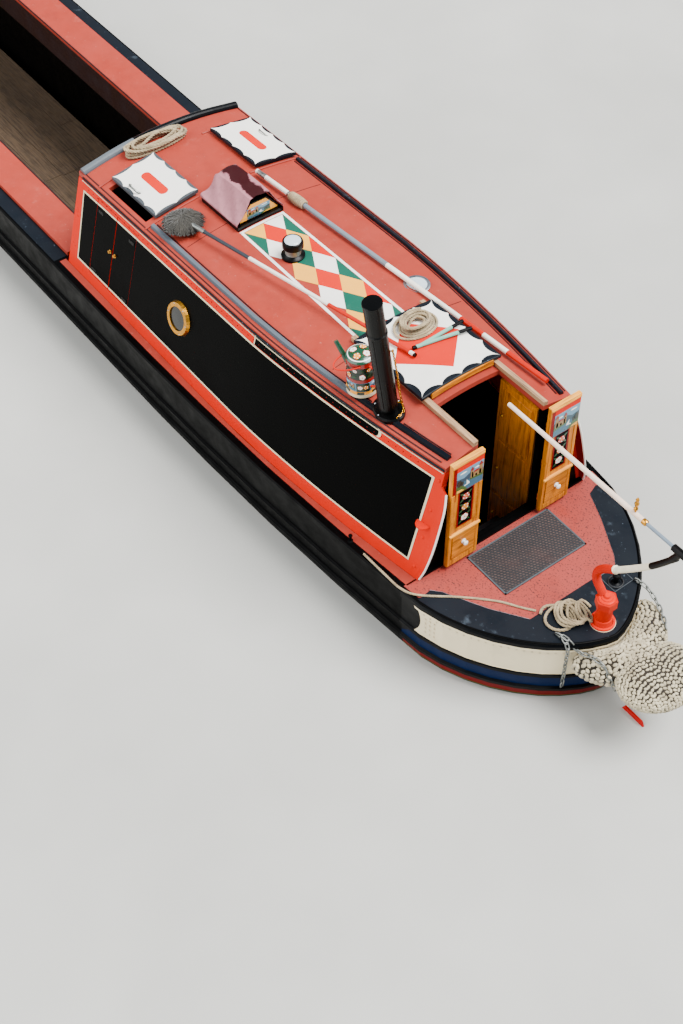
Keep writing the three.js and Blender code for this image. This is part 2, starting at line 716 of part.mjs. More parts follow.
// Rear slide on its two runners
const REAR_SLIDE = { from: 530, to: 1280, half: 348, thick: 26, lift: 46 };
const RUNNER = { from: 20, to: 1340, inner: 286, outer: 324, low: 0.7, high: 36 };
const slideTop = (forward) =>
  roofZ(REAR_SLIDE.from, 0) + ROOF_SLOPE * (forward - REAR_SLIDE.from) + REAR_SLIDE.lift + REAR_SLIDE.thick;
function rearSlide() {
  const { from, to, half, thick, lift } = REAR_SLIDE;
  const curved = (forward) => {
    const rise = ROOF_SLOPE * (forward - from);
    return roofStrip(from, -half, half, lift, lift + thick).map(([, y, z]) => [at(forward), y, z + rise]);
  };
  add("rear_slide", "cream", loft([curved(from), curved(to)], 0));
  for (const { name, sign } of SIDES) {
    const rings = [RUNNER.from, 500, RUNNER.to].map((f) =>
      [
        [RUNNER.inner, RUNNER.low],
        [RUNNER.outer, RUNNER.low],
        [RUNNER.outer, RUNNER.high],
        [RUNNER.inner, RUNNER.high],
      ].map(([y, up]) => [at(f), sign * y, roofZ(f, y) + up]),
    );
    add(`hatch_runner_${name}`, "bareWood", loft(rings, 0));
  }
}

// Handrails along the roof's edges
const RAIL = { from: 60, to: 3370, inset: 58, half: 19, slant: 6, high: 26 };
function rail(sign, grown = 0) {
  const stations = [RAIL.from, ...CABIN_STATIONS.filter((f) => f > RAIL.from && f < RAIL.to), RAIL.to];
  const rings = stations.map((f) => {
    const middle = cabinTop(f) - RAIL.inset;
    const [foot, head] = [RAIL.half + grown, RAIL.half - RAIL.slant + grown];
    return [
      [middle - foot, 1 - grown],
      [middle + foot, 1 - grown],
      [middle + head, RAIL.high + grown],
      [middle - head, RAIL.high + grown],
    ].map(([y, up]) => [at(f), sign * y, roofZ(f, y) + up]);
  });
  return loft(rings, 0);
}
const handrails = () => SIDES.forEach(({ name, sign }) => add(`handrail_${name}`, "blueBlack", rail(sign)));

// Roof fittings
// The chimney stands on an oval foot that laps over the handrail, and leans outboard
const CHIMNEY = { forward: 655, y: 522, radius: 67, height: 1080, lean: 0.15 };
const CHIMNEY_FOOT = { long: 130, wide: 100, high: 46, sunk: 10 };
function chimney() {
  const { forward, y, radius, height, lean } = CHIMNEY;
  const profile = [
    [0, 0],
    [radius, 0],
    [radius, height * 0.73],
    [radius + 4, height * 0.735],
    [radius + 4, height * 0.75],
    [radius - 2, height * 0.755],
    [radius - 2, height],
    [0, height],
  ];
  const flue = turned(profile, [0, 0, 0], 28).rotateX(-lean);
  const footProfile = [
    [0, 0],
    [1, 0],
    [1, 0.75],
    [0.9, 1],
    [0, 1],
  ];
  const { long, wide, high, sunk } = CHIMNEY_FOOT;
  const slope = Math.atan((2 * CAMBER * y) / cabinTop(forward) ** 2);
  const foot = turned(footProfile, [0, 0, 0], 28).scale(long, wide, high);
  foot.rotateX(-slope).rotateY(-ROOF_SLOPE);
  const place = [at(forward), y, roofZ(forward, y) - sunk];
  const shapes = [flue, foot].map((shape) => shape.translate(...place));
  add("chimney", "black", cut(join(...shapes), underRoof(), rail(1, 1)));
}

const VENT = { forward: 2343, y: 100 };
function vent() {
  const profile = [
    [0, 0],
    [72, 0],
    [72, 16],
    [50, 26],
    [46, 78],
    [60, 86],
    [64, 132],
    [48, 150],
    [0, 154],
  ];
  const body = turned(profile, [at(VENT.forward), VENT.y, roofZ(VENT.forward, VENT.y) - 3], 28);
  add("mushroom_vent", "brass", cut(body, underRoof()));
}

// Pigeon box under its cloth cover: half widths and heights of the foot, the shoulder and the ridge
const PIGEON_BOX = { y: 45, foot: -30, half: 215, shoulder: 208, shoulderUp: 60, ridge: 90 };
// Distance forward, height of the ridge
const PIGEON_STATIONS = [
  [2840, 220],
  [2900, 240],
  [3280, 240],
  [3340, 170],
];
function pigeonBox() {
  const { y, foot, half, shoulder, shoulderUp, ridge } = PIGEON_BOX;
  const rings = PIGEON_STATIONS.map(([f, top]) =>
    [
      [-half, foot],
      [half, foot],
      [shoulder, shoulderUp],
      [ridge, top],
      [-ridge, top],
      [-shoulder, shoulderUp],
    ].map(([side, up]) => [at(f), y + side, roofZ(f, y) + up]),
  );
  add("pigeon_box_cover", "maroon", cut(loft(rings, 0), underRoof()));
}

// Water can, standing with one side of its foot on the handrail
const CAN = { forward: 935, y: 536, radius: 110 };
function waterCan() {
  const { forward, y, radius } = CAN;
  const profile = [
    [0, 0],
    [radius, 0],
    [radius, 30],
    [radius - 8, 60],
    [radius - 10, 190],
    [radius - 18, 215],
    [radius - 12, 260],
    [radius - 16, 300],
    [0, 306],
  ];
  const inner = y - radius;
  const onRail = cabinTop(forward) - RAIL.inset - RAIL.half + RAIL.slant;
  const [low, high] = [roofZ(forward, inner) + 3, roofZ(forward, onRail) + RAIL.high + 3];
  const tilt = (high - low) / (onRail - inner);
  const body = turned(profile, [0, 0, 0], 28);
  const spout = rod([70, 20, 120], [190, 60, 330], 24, 16, 12);
  const can = join(body, spout).rotate([(Math.atan(tilt) * 180) / Math.PI, (-ROOF_SLOPE * 180) / Math.PI, 0]);
  const placed = can.translate([at(forward), y, low + tilt * radius]);
  add("water_can", "green", cut(placed, underRoof(), rail(1, 1)));
}

// Mop lying on the roof, its wool forward and its handle over the slide: distance forward, y, height
const MOP = { from: [3110, 508], fromRise: 80, tip: [850, 146], tipRise: 99, handle: 15 };
const WOOL = { forward: 3175, y: 522, rise: 48, radii: [140, 150, 52] };
function mop() {
  const start = [at(MOP.from[0]), MOP.from[1], roofZ(MOP.from[0] + 40, MOP.from[1] + 12) + MOP.fromRise];
  const end = [at(MOP.tip[0]), MOP.tip[1], roofZ(...MOP.tip) + MOP.tipRise];
  const handle = rod(start, end, MOP.handle, MOP.handle, 12);
  const wool = new THREE.SphereGeometry(1, 20, 12).scale(...WOOL.radii);
  wool.translate(at(WOOL.forward), WOOL.y, roofZ(WOOL.forward - 25, WOOL.y - 2) + WOOL.rise);
  add("mop", "mopWool", cut(join(wool, handle), underRoof()));
}

// Boat shaft lying along the starboard side of the roof
const SHAFT = { fore: [3330, -268], aft: [180, -462], radius: 19, rise: 44 };
function boatShaft() {
  const [start, end] = [SHAFT.fore, SHAFT.aft].map(([f, y]) => [at(f), y, roofZ(f, y) + SHAFT.rise]);
  add("boat_shaft", "cream", rod(start, end, SHAFT.radius, SHAFT.radius, 12));
}

// Two poles that lie crossed on the rear slide: forward and y of both ends
const POLE_RADIUS = 14;
const POLES = [
  [[926, 110], [835, -338]],
  [[914, 50], [930, -338]],
];
function slidePoles() {
  const rods = POLES.map((ends) => {
    const [from, to] = ends.map(([f, y]) => [at(f), y, slideTop(f) + POLE_RADIUS + 2]);
    return rod(from, to, POLE_RADIUS, POLE_RADIUS, 12);
  });
  add("slide_poles", "teal", join(...rods));
}

// Foot steps on the aft part of the cabin sides
const STEP = { forward: 74, up: 455, radius: 54, thick: 14 };
function sideSteps() {
  const { forward, up, radius, thick } = STEP;
  for (const { name, sign } of SIDES) {
    const [x, y] = [at(forward), sign * (sideY(forward, up) + 1.5)];
    const disc = rod([x, y, DECK + up], [x, y, DECK + up + thick], radius, radius, 28);
    add(`side_step_${name}`, "orangeRed", cut(disc, inboard(sign)));
  }
}
// Everything inboard of the cabin side's outer face near the steps
function inboard(sign) {
  const [low, high] = [300, 600];
  const rings = [-80, 0, 80, 160, 250].map((forward) => {
    const f = Math.max(0, forward);
    return [
      [-200, low],
      [sideY(f, low) + 1, low],
      [sideY(f, high) + 1, high],
      [-200, high],
    ].map(([y, up]) => [at(forward), sign * y, DECK + up]);
  });
  return loft(rings, 0);
}

// Steering gear
const STOCK = { radius: 30, low: SKEG.high + 2 };
const RUDDER = { fore: -800, aft: -1600, low: 95, high: 772, thick: 16, tipFrom: -1345, tip: 838 };
const COLLAR = { high: 60, radius: 70, headRadius: 62, bore: 33 };
const BOSS = { from: 66, to: 190, radius: 56, nut: 258, nutRadius: 78 };
const TILLER = { height: 1205, back: -1520, join: -1227, front: 60, root: 19, grip: 15 };
const IRON = { radius: 12, to: -1167 };
// The swan neck: distance forward, height above the deck
const NECK = [
  [-1040, 210],
  [-985, 285],
  [-925, 350],
  [-922, 430],
  [-975, 510],
  [-1067, 590],
  [-1332, 893],
  [-1500, 1135],
];
const NECK_RADIUS = { low: 30, high: 23 };
const SOCKET = { from: -1570, to: -1460, radius: 27, mouth: 25 };
const PIN = { at: -1125, hole: 7.5, holeUp: 10 };
function rudder() {
  const { fore, aft, low, high, thick, tipFrom, tip } = RUDDER;
  const outline = [
    [at(fore), low],
    [at(fore), high],
    [at(tipFrom), high],
    [at(tipFrom - 30), tip],
    [at(aft + 60), tip],
    [at(aft), tip - 90],
    [at(aft), low + 60],
    [at(aft + 80), low],
  ];
  const blade = plate(outline, 1, -thick / 2, thick / 2);
  const stock = uprightBar(RUDDER_AT, STOCK.low, DECK + BOSS.from - GAP, STOCK.radius);
  add("rudder", "black", join(blade, stock));

  const collar = uprightBar(RUDDER_AT, DECK + GAP, DECK + COLLAR.high, COLLAR.radius, COLLAR.headRadius, 28);
  const bore = uprightBar(RUDDER_AT, DECK - COLLAR.high, DECK + 2 * COLLAR.high, COLLAR.bore);
  add("rudder_collar", "orangeRed", cut(collar, bore));
}

function swanNeck() {
  const { height, back } = TILLER;
  const neckBar = (points, radius) => bar(points.map(([f, up]) => [at(f), 0, DECK + up]), radius, 20, 16);
  const joined = join(
    uprightBar(RUDDER_AT, DECK + BOSS.from, DECK + BOSS.to, BOSS.radius, BOSS.radius, 28),
    uprightBar(RUDDER_AT, DECK + BOSS.to - 2, DECK + BOSS.nut, BOSS.nutRadius, BOSS.nutRadius, 6),
    neckBar(NECK.slice(0, 6), NECK_RADIUS.low),
    neckBar(NECK.slice(4), NECK_RADIUS.high),
    rod([at(-1470), 0, DECK + 1092], [at(back), 0, DECK + height - 10], SOCKET.mouth),
    lengthwaysBar(DECK + height, SOCKET.from, SOCKET.to, SOCKET.radius, SOCKET.mouth),
  );
  const bore = IRON.radius + 2 * GAP;
  const bed = lengthwaysBar(DECK + height, back - 5, TILLER.front, bore, bore, 12);
  add("swan_neck", "orangeRed", cut(joined, bed));
}

// The tiller bar on its iron, and the brass pin that holds it
function tiller() {
  const { height, back, join: from, front, root, grip } = TILLER;
  const z = DECK + height;
  const ironBar = lengthwaysBar(z, back, IRON.to, IRON.radius, IRON.radius, 12);
  const handle = lengthwaysBar(z, from, front, root, grip);
  const hole = uprightBar(PIN.at, z + PIN.holeUp, z + 4 * PIN.holeUp, PIN.hole, PIN.hole, 12);
  add("tiller_bar", "cream", cut(join(ironBar, handle), hole));
  const profile = [
    [0, 0],
    [6, 0],
    [6, 22],
    [15, 28],
    [15, 40],
    [6, 50],
    [13, 66],
    [17, 84],
    [10, 100],
    [13, 116],
    [7, 132],
    [0, 138],
  ];
  add("tiller_pin", "brass", turned(profile, [at(PIN.at), 0, z + PIN.holeUp + 1], 16));
}

// Propeller and its shaft
const PROPELLER = { at: -520, radius: 285, hub: 48, shaft: 24, blades: 3, pitch: 0.55 };
const BLADE = { thick: 10, wide: 0.36, tall: 0.42, out: 0.56 }; // the last three as shares of the radius
function propeller() {
  const { at: place, radius, hub: hubRadius, shaft: shaftRadius, blades: count, pitch } = PROPELLER;
  const hub = lengthwaysBar(SHAFT_Z, place - 60, POST_AT - 2 * CLEAR, hubRadius, hubRadius, 24);
  const shaft = lengthwaysBar(SHAFT_Z, place, POST_AT - CLEAR, shaftRadius);
  const blades = Array.from({ length: count }, (_, i) => {
    const disc = new THREE.SphereGeometry(1, 16, 12);
    disc.scale(BLADE.thick, radius * BLADE.wide, radius * BLADE.tall);
    disc.rotateZ(pitch).translate(0, 0, radius * BLADE.out);
    disc.rotateX((2 * Math.PI * i) / count).translate(at(place), 0, SHAFT_Z);
    return disc;
  });
  add("propeller", "brass", join(hub, shaft, ...blades));
}

// Rope fenders at the stern and on the stem. The stern one is a sausage round the counter's edge,
// given by distance forward and y, with a flat button behind it.
const SAUSAGE = { depth: 155, tip: 30, swell: 110, rings: 20, sides: 14 };
const SAUSAGE_PATH = [
  [-1095, 298],
  [-1180, 235],
  [-1285, 120],
  [-1325, -10],
  [-1295, -170],
  [-1185, -320],
  [-1010, -425],
];
const BUTTON = { forward: -1550, y: -50, depth: 110, radii: [250, 310, 125] };
const BOW_FENDER = { forward: 20690, depth: 20, radii: [110, 190, 210] };

function sausage() {
  const { depth, tip, swell, rings: count, sides } = SAUSAGE;
  const points = SAUSAGE_PATH.map(([f, y]) => new THREE.Vector3(at(f), y, DECK - depth));
  const curve = new THREE.CatmullRomCurve3(points);
  const rings = Array.from({ length: count + 1 }, (_, i) => {
    const share = i / count;
    const radius = tip + swell * Math.sin(Math.PI * share) ** 0.5;
    const middle = curve.getPointAt(share);
    const along = curve.getTangentAt(share);
    const aside = new THREE.Vector3(along.y, -along.x, 0).normalize();
    return Array.from({ length: sides }, (_, k) => {
      const angle = (2 * Math.PI * k) / sides;
      const p = middle.clone().addScaledVector(aside, radius * Math.cos(angle));
      return [p.x, p.y, p.z + radius * Math.sin(angle)];
    });
  });
  return loft(rings, 0);
}

function fenders() {
  const ball = ({ forward, y = 0, depth, radii }) =>
    new THREE.SphereGeometry(1, 22, 14).scale(...radii).translate(at(forward), y, DECK - depth);
  add("stern_fender", "rope", cut(join(sausage(), ball(BUTTON)), grownHull(1.5)));
  add("bow_fender", "rope", cut(ball(BOW_FENDER), grownHull(1.5)));
}
// The upper hull grown by a little, which shapes the fenders that bear on it
function grownHull(by) {
  const rings = SIDE_PROFILE.map(([depth, ...out]) => upperRing([depth, ...out.map((value) => value + by)]));
  const stem = at(STEM - 110);
  return toSolid(loft(rings.map((ring) => ring.map(([x, y, z]) => [x > stem ? x + by : x, y, z])), 2, 0));
}

// Ropes: coils lying on the roof, the slide and the counter, and the line from the stern coil to a stud
// name, forward, y, half length, half width, height of the foot
const COILS = [
  ["front_coil", 4163, 90, 106, 290, roofZ(4163, 0) + 6],
  ["rear_coil", 1108, -32, 162, 157, slideTop(1108) + 9],
  ["stern_coil", -865, 200, 175, 175, DECK + 1],
];
const COIL_HIGH = 72;
// The section of a coil, as shares of its half width and its height
const COIL_SECTION = [
  [0.42, 0],
  [1, 0],
  [1, 0.55],
  [0.88, 1],
  [0.5, 1],
  [0.42, 0.6],
  [0.42, 0],
];
function coils() {
  for (const [name, forward, y, long, wide, foot] of COILS) {
    const ring = turned(COIL_SECTION, [0, 0, 0], 28).scale(long, wide, COIL_HIGH);
    add(name, "rope", ring.translate(at(forward), y, foot));
  }
}

// The stern line: distance forward, y, height above the deck
const LINE_RADIUS = 9;
const LINE_ROUTE = [
  [400, 930, 11],
  [180, 925, 10.5],
  [0, 915, 12],
  [-120, 850, 11],
  [-300, 640, 10],
  [-480, 460, 10],
  [-620, 365, 10],
  [-704, 304, 12],
];
function sternLine() {
  const points = LINE_ROUTE.map(([f, y, up]) => [at(f), y, DECK + up]);
  add("stern_line", "rope", bar(points, LINE_RADIUS, 60, 8));
}

hull();
counter();
treadPlate();
sideDecks();
holdFloor();
crossBeams();
foreDeck();
add("fore_stud", "black", stud(...FORE_STUD));
SIDES.forEach(cabinSide);
portholes();
engineDoors();
cabinRoof();
capBeam();
frontBulkhead();
rearBulkhead();
rearDoors();
cabinInside();
engine();
engineSlides();
rearSlide();
handrails();
chimney();
vent();
pigeonBox();
waterCan();
mop();
boatShaft();
slidePoles();
sideSteps();
rudder();
swanNeck();
tiller();
propeller();
fenders();
coils();
sternLine();

export default boat;
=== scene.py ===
"""The looks of a full-length motor narrowboat: paint, timber, brass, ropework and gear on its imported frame.

Metres. +X is forward, +Y is to port and +Z is up. Distances along the boat are measured forward from the
rear bulkhead of the cabin, and at() turns them into x.
"""

import json
import random
from itertools import product
from math import atan, ceil, copysign, cos, dist, floor, hypot, pi, radians, sin, sqrt

import bmesh
import bpy
from mathutils import Matrix, Vector
from mathutils.bvhtree import BVHTree
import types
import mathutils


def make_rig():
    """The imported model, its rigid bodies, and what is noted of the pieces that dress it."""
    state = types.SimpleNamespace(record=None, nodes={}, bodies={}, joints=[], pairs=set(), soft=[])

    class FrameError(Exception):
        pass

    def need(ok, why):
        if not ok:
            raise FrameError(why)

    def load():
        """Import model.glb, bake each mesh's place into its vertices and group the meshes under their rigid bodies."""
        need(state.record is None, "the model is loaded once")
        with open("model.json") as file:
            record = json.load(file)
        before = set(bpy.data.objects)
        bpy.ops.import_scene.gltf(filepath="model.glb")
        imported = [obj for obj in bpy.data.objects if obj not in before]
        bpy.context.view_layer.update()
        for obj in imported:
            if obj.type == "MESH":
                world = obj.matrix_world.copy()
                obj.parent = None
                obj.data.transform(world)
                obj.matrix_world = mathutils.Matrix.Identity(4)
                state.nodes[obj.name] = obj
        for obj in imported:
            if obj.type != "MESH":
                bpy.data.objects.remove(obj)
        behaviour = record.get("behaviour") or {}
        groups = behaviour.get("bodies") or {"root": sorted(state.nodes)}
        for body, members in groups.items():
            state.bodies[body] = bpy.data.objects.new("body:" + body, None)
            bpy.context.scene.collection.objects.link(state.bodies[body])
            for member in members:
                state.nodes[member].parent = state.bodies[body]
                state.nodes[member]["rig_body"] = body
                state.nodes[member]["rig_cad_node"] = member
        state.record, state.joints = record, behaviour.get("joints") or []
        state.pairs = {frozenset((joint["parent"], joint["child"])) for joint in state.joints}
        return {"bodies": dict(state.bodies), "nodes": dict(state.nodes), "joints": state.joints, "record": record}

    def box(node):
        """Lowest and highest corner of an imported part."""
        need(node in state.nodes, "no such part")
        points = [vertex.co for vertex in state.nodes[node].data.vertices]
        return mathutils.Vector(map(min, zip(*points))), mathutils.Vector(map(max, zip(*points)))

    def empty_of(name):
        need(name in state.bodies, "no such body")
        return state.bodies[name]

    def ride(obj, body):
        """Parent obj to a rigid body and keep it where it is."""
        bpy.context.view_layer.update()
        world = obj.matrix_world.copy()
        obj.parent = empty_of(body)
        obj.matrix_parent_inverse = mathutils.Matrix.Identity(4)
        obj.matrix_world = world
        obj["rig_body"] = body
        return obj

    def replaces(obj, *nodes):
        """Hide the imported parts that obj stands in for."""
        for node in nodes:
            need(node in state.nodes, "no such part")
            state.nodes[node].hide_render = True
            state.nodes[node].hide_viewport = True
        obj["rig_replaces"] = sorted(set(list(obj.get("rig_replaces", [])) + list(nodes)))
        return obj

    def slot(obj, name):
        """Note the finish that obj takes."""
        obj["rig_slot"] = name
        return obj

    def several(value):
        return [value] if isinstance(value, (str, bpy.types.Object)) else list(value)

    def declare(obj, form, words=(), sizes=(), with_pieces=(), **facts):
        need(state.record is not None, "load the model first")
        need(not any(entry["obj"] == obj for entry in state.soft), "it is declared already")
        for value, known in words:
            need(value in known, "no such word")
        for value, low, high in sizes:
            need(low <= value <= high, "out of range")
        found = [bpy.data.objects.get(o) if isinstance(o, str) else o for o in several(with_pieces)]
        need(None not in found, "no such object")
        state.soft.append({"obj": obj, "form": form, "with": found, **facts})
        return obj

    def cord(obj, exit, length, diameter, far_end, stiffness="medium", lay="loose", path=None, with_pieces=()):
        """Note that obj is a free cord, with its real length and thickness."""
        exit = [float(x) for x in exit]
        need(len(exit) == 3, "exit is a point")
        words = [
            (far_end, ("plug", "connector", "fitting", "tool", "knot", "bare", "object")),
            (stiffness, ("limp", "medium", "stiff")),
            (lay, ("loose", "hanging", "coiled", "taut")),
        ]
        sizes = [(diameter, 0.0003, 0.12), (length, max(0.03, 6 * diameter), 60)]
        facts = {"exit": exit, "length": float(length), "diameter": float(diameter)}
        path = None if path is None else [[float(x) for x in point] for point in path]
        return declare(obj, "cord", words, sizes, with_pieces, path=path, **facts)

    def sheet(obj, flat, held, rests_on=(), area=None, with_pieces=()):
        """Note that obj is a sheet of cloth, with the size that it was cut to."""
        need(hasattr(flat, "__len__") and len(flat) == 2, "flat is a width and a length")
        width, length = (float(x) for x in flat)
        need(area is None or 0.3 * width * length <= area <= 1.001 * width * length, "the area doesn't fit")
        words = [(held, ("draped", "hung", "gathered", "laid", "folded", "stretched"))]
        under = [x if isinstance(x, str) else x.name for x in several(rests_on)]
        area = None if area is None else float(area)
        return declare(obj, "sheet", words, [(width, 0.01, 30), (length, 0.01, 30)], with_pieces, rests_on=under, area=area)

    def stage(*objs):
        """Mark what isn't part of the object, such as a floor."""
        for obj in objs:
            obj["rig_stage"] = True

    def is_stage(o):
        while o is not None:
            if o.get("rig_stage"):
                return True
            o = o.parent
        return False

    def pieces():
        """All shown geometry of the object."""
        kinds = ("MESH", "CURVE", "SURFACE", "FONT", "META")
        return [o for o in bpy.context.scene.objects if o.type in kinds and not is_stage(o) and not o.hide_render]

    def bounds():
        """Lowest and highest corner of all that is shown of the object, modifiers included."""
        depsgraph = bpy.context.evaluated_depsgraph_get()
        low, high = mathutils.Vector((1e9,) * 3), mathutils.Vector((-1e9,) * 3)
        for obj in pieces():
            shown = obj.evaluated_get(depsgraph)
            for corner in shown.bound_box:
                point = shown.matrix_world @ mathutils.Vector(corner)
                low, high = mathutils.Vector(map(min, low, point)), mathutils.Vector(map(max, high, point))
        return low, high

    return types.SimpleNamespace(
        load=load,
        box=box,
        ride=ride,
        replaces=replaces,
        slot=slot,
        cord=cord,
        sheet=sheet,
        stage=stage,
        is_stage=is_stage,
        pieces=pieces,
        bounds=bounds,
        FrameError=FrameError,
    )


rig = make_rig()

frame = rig.load()
cad_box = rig.bounds()

# Sizes shared with the frame
BULKHEAD = -9.5
DECK = 1.45
WATER = 0.8
CABIN_LENGTH = 4.36
CAMBER = 0.085
# The cabin's half breadth at foot and top, and what each loses at the aft end
FOOT_HALF, FOOT_IN = 0.968, 0.195
TOP_HALF, TOP_IN = 0.74, 0.199
CABIN_LOW, CABIN_RISE = 0.816, 0.163  # the cabin's height at its fore end, and its rise to the aft end
ROOF_SLOPE = -CABIN_RISE / CABIN_LENGTH
LEAN_AT = 3.0  # where the lean of the cabin's side is taken
CURVE_START = 2.0
COUNTER_LENGTH = 1.18
STERN_HALF = 0.905
# The gunwale: distance forward, half breadth
GUNWALE = [
    (0.0, STERN_HALF),
    (0.7, 0.975),
    (1.5, 1.03),
    (2.3, 1.06),
    (3.0, 1.073),
    (15.4, 1.073),
    (16.8, 1.06),
    (17.6, 1.02),
    (18.3, 0.94),
    (19.0, 0.81),
    (19.6, 0.63),
    (20.05, 0.43),
    (20.35, 0.24),
    (20.55, 0.095),
    (20.61, 0.04),
]
RISE_START, STEM, BOW_RISE = 14.0, 20.61, 0.35
SIDES = (("port", 1), ("stbd", -1))
UP = Vector((0, 0, 1))
LOW, HIGH = 0.0006, 0.0016  # the under and upper face of a coat of paint above what it lies on
LEVEL = 0.0004  # what each coat of paint lies above the one before


def at(forward):
    return BULKHEAD + forward


def clamp(value):
    return min(1.0, max(0.0, value))


def steps(start, end, count):
    """Even values from start to end, both included."""
    return [start + (end - start) * i / count for i in range(count + 1)]


def angles(count):
    return [2 * pi * i / count for i in range(count)]


def between(table, key):
    for (low, a), (high, b) in zip(table, table[1:]):
        if key <= high:
            return a + (b - a) * (key - low) / (high - low)
    return table[-1][1]


def curve_in(forward):
    return clamp((CURVE_START - forward) / CURVE_START) ** 1.6


def cabin_foot(forward):
    return FOOT_HALF - FOOT_IN * curve_in(forward)


def cabin_top(forward):
    return TOP_HALF - TOP_IN * curve_in(forward)


def cabin_height(forward):
    return CABIN_LOW + CABIN_RISE * (1 - forward / CABIN_LENGTH)


def roof_z(forward, y):
    return DECK + cabin_height(forward) + CAMBER * (1 - (y / cabin_top(forward)) ** 2)


def side_y(forward, up):
    share = up / cabin_height(forward)
    return cabin_foot(forward) + (cabin_top(forward) - cabin_foot(forward)) * share


def counter_half(forward):
    return STERN_HALF * (1 - clamp(-forward / COUNTER_LENGTH) ** 1.8) ** 0.65


def breadth(forward):
    return counter_half(forward) if forward <= 0 else between(GUNWALE, forward)


def rim_height(forward):
    return DECK + BOW_RISE * clamp((forward - RISE_START) / (STEM - RISE_START)) ** 2


# Surfaces: each turns two coordinates and a height above the surface into a point
def roof_surface(forward, y, up):
    return Vector((at(forward), y, roof_z(forward, y) + up))


def deck_surface(forward, y, up):
    return Vector((at(forward), y, DECK + up))


def cabin_surface(sign):
    lean = Vector((FOOT_HALF - TOP_HALF, cabin_height(LEAN_AT))).normalized()
    out = Vector((0, sign * lean.y, lean.x))
    return lambda f, up, high: deck_surface(f, sign * side_y(f, up), up) + out * high


def cross_surface(face, facing, port):
    """A plane across the boat that faces aft or fore; its first coordinate runs from its port edge."""
    return lambda s, up, out: Vector((at(face) + facing * out, port - s, DECK + up))


def on_surface(surface, u, v, up=0.0):
    """A matrix at a point of a surface, with z along the outward direction."""
    here = surface(u, v, 0.0)
    out = (surface(u, v, 0.01) - here).normalized()
    along = surface(u + 0.01, v, 0.0) - here
    along = (along - out * along.dot(out)).normalized()
    made = Matrix((along, out.cross(along), out)).transposed().to_4x4()
    made.translation = here + out * up
    return made


# Meshes
BLOCK_FACES = [[0, 1, 3, 2], [4, 6, 7, 5], [0, 4, 5, 1], [2, 3, 7, 6], [0, 2, 6, 4], [1, 5, 7, 3]]
POINT = 0.0004  # the radius that stands for a point


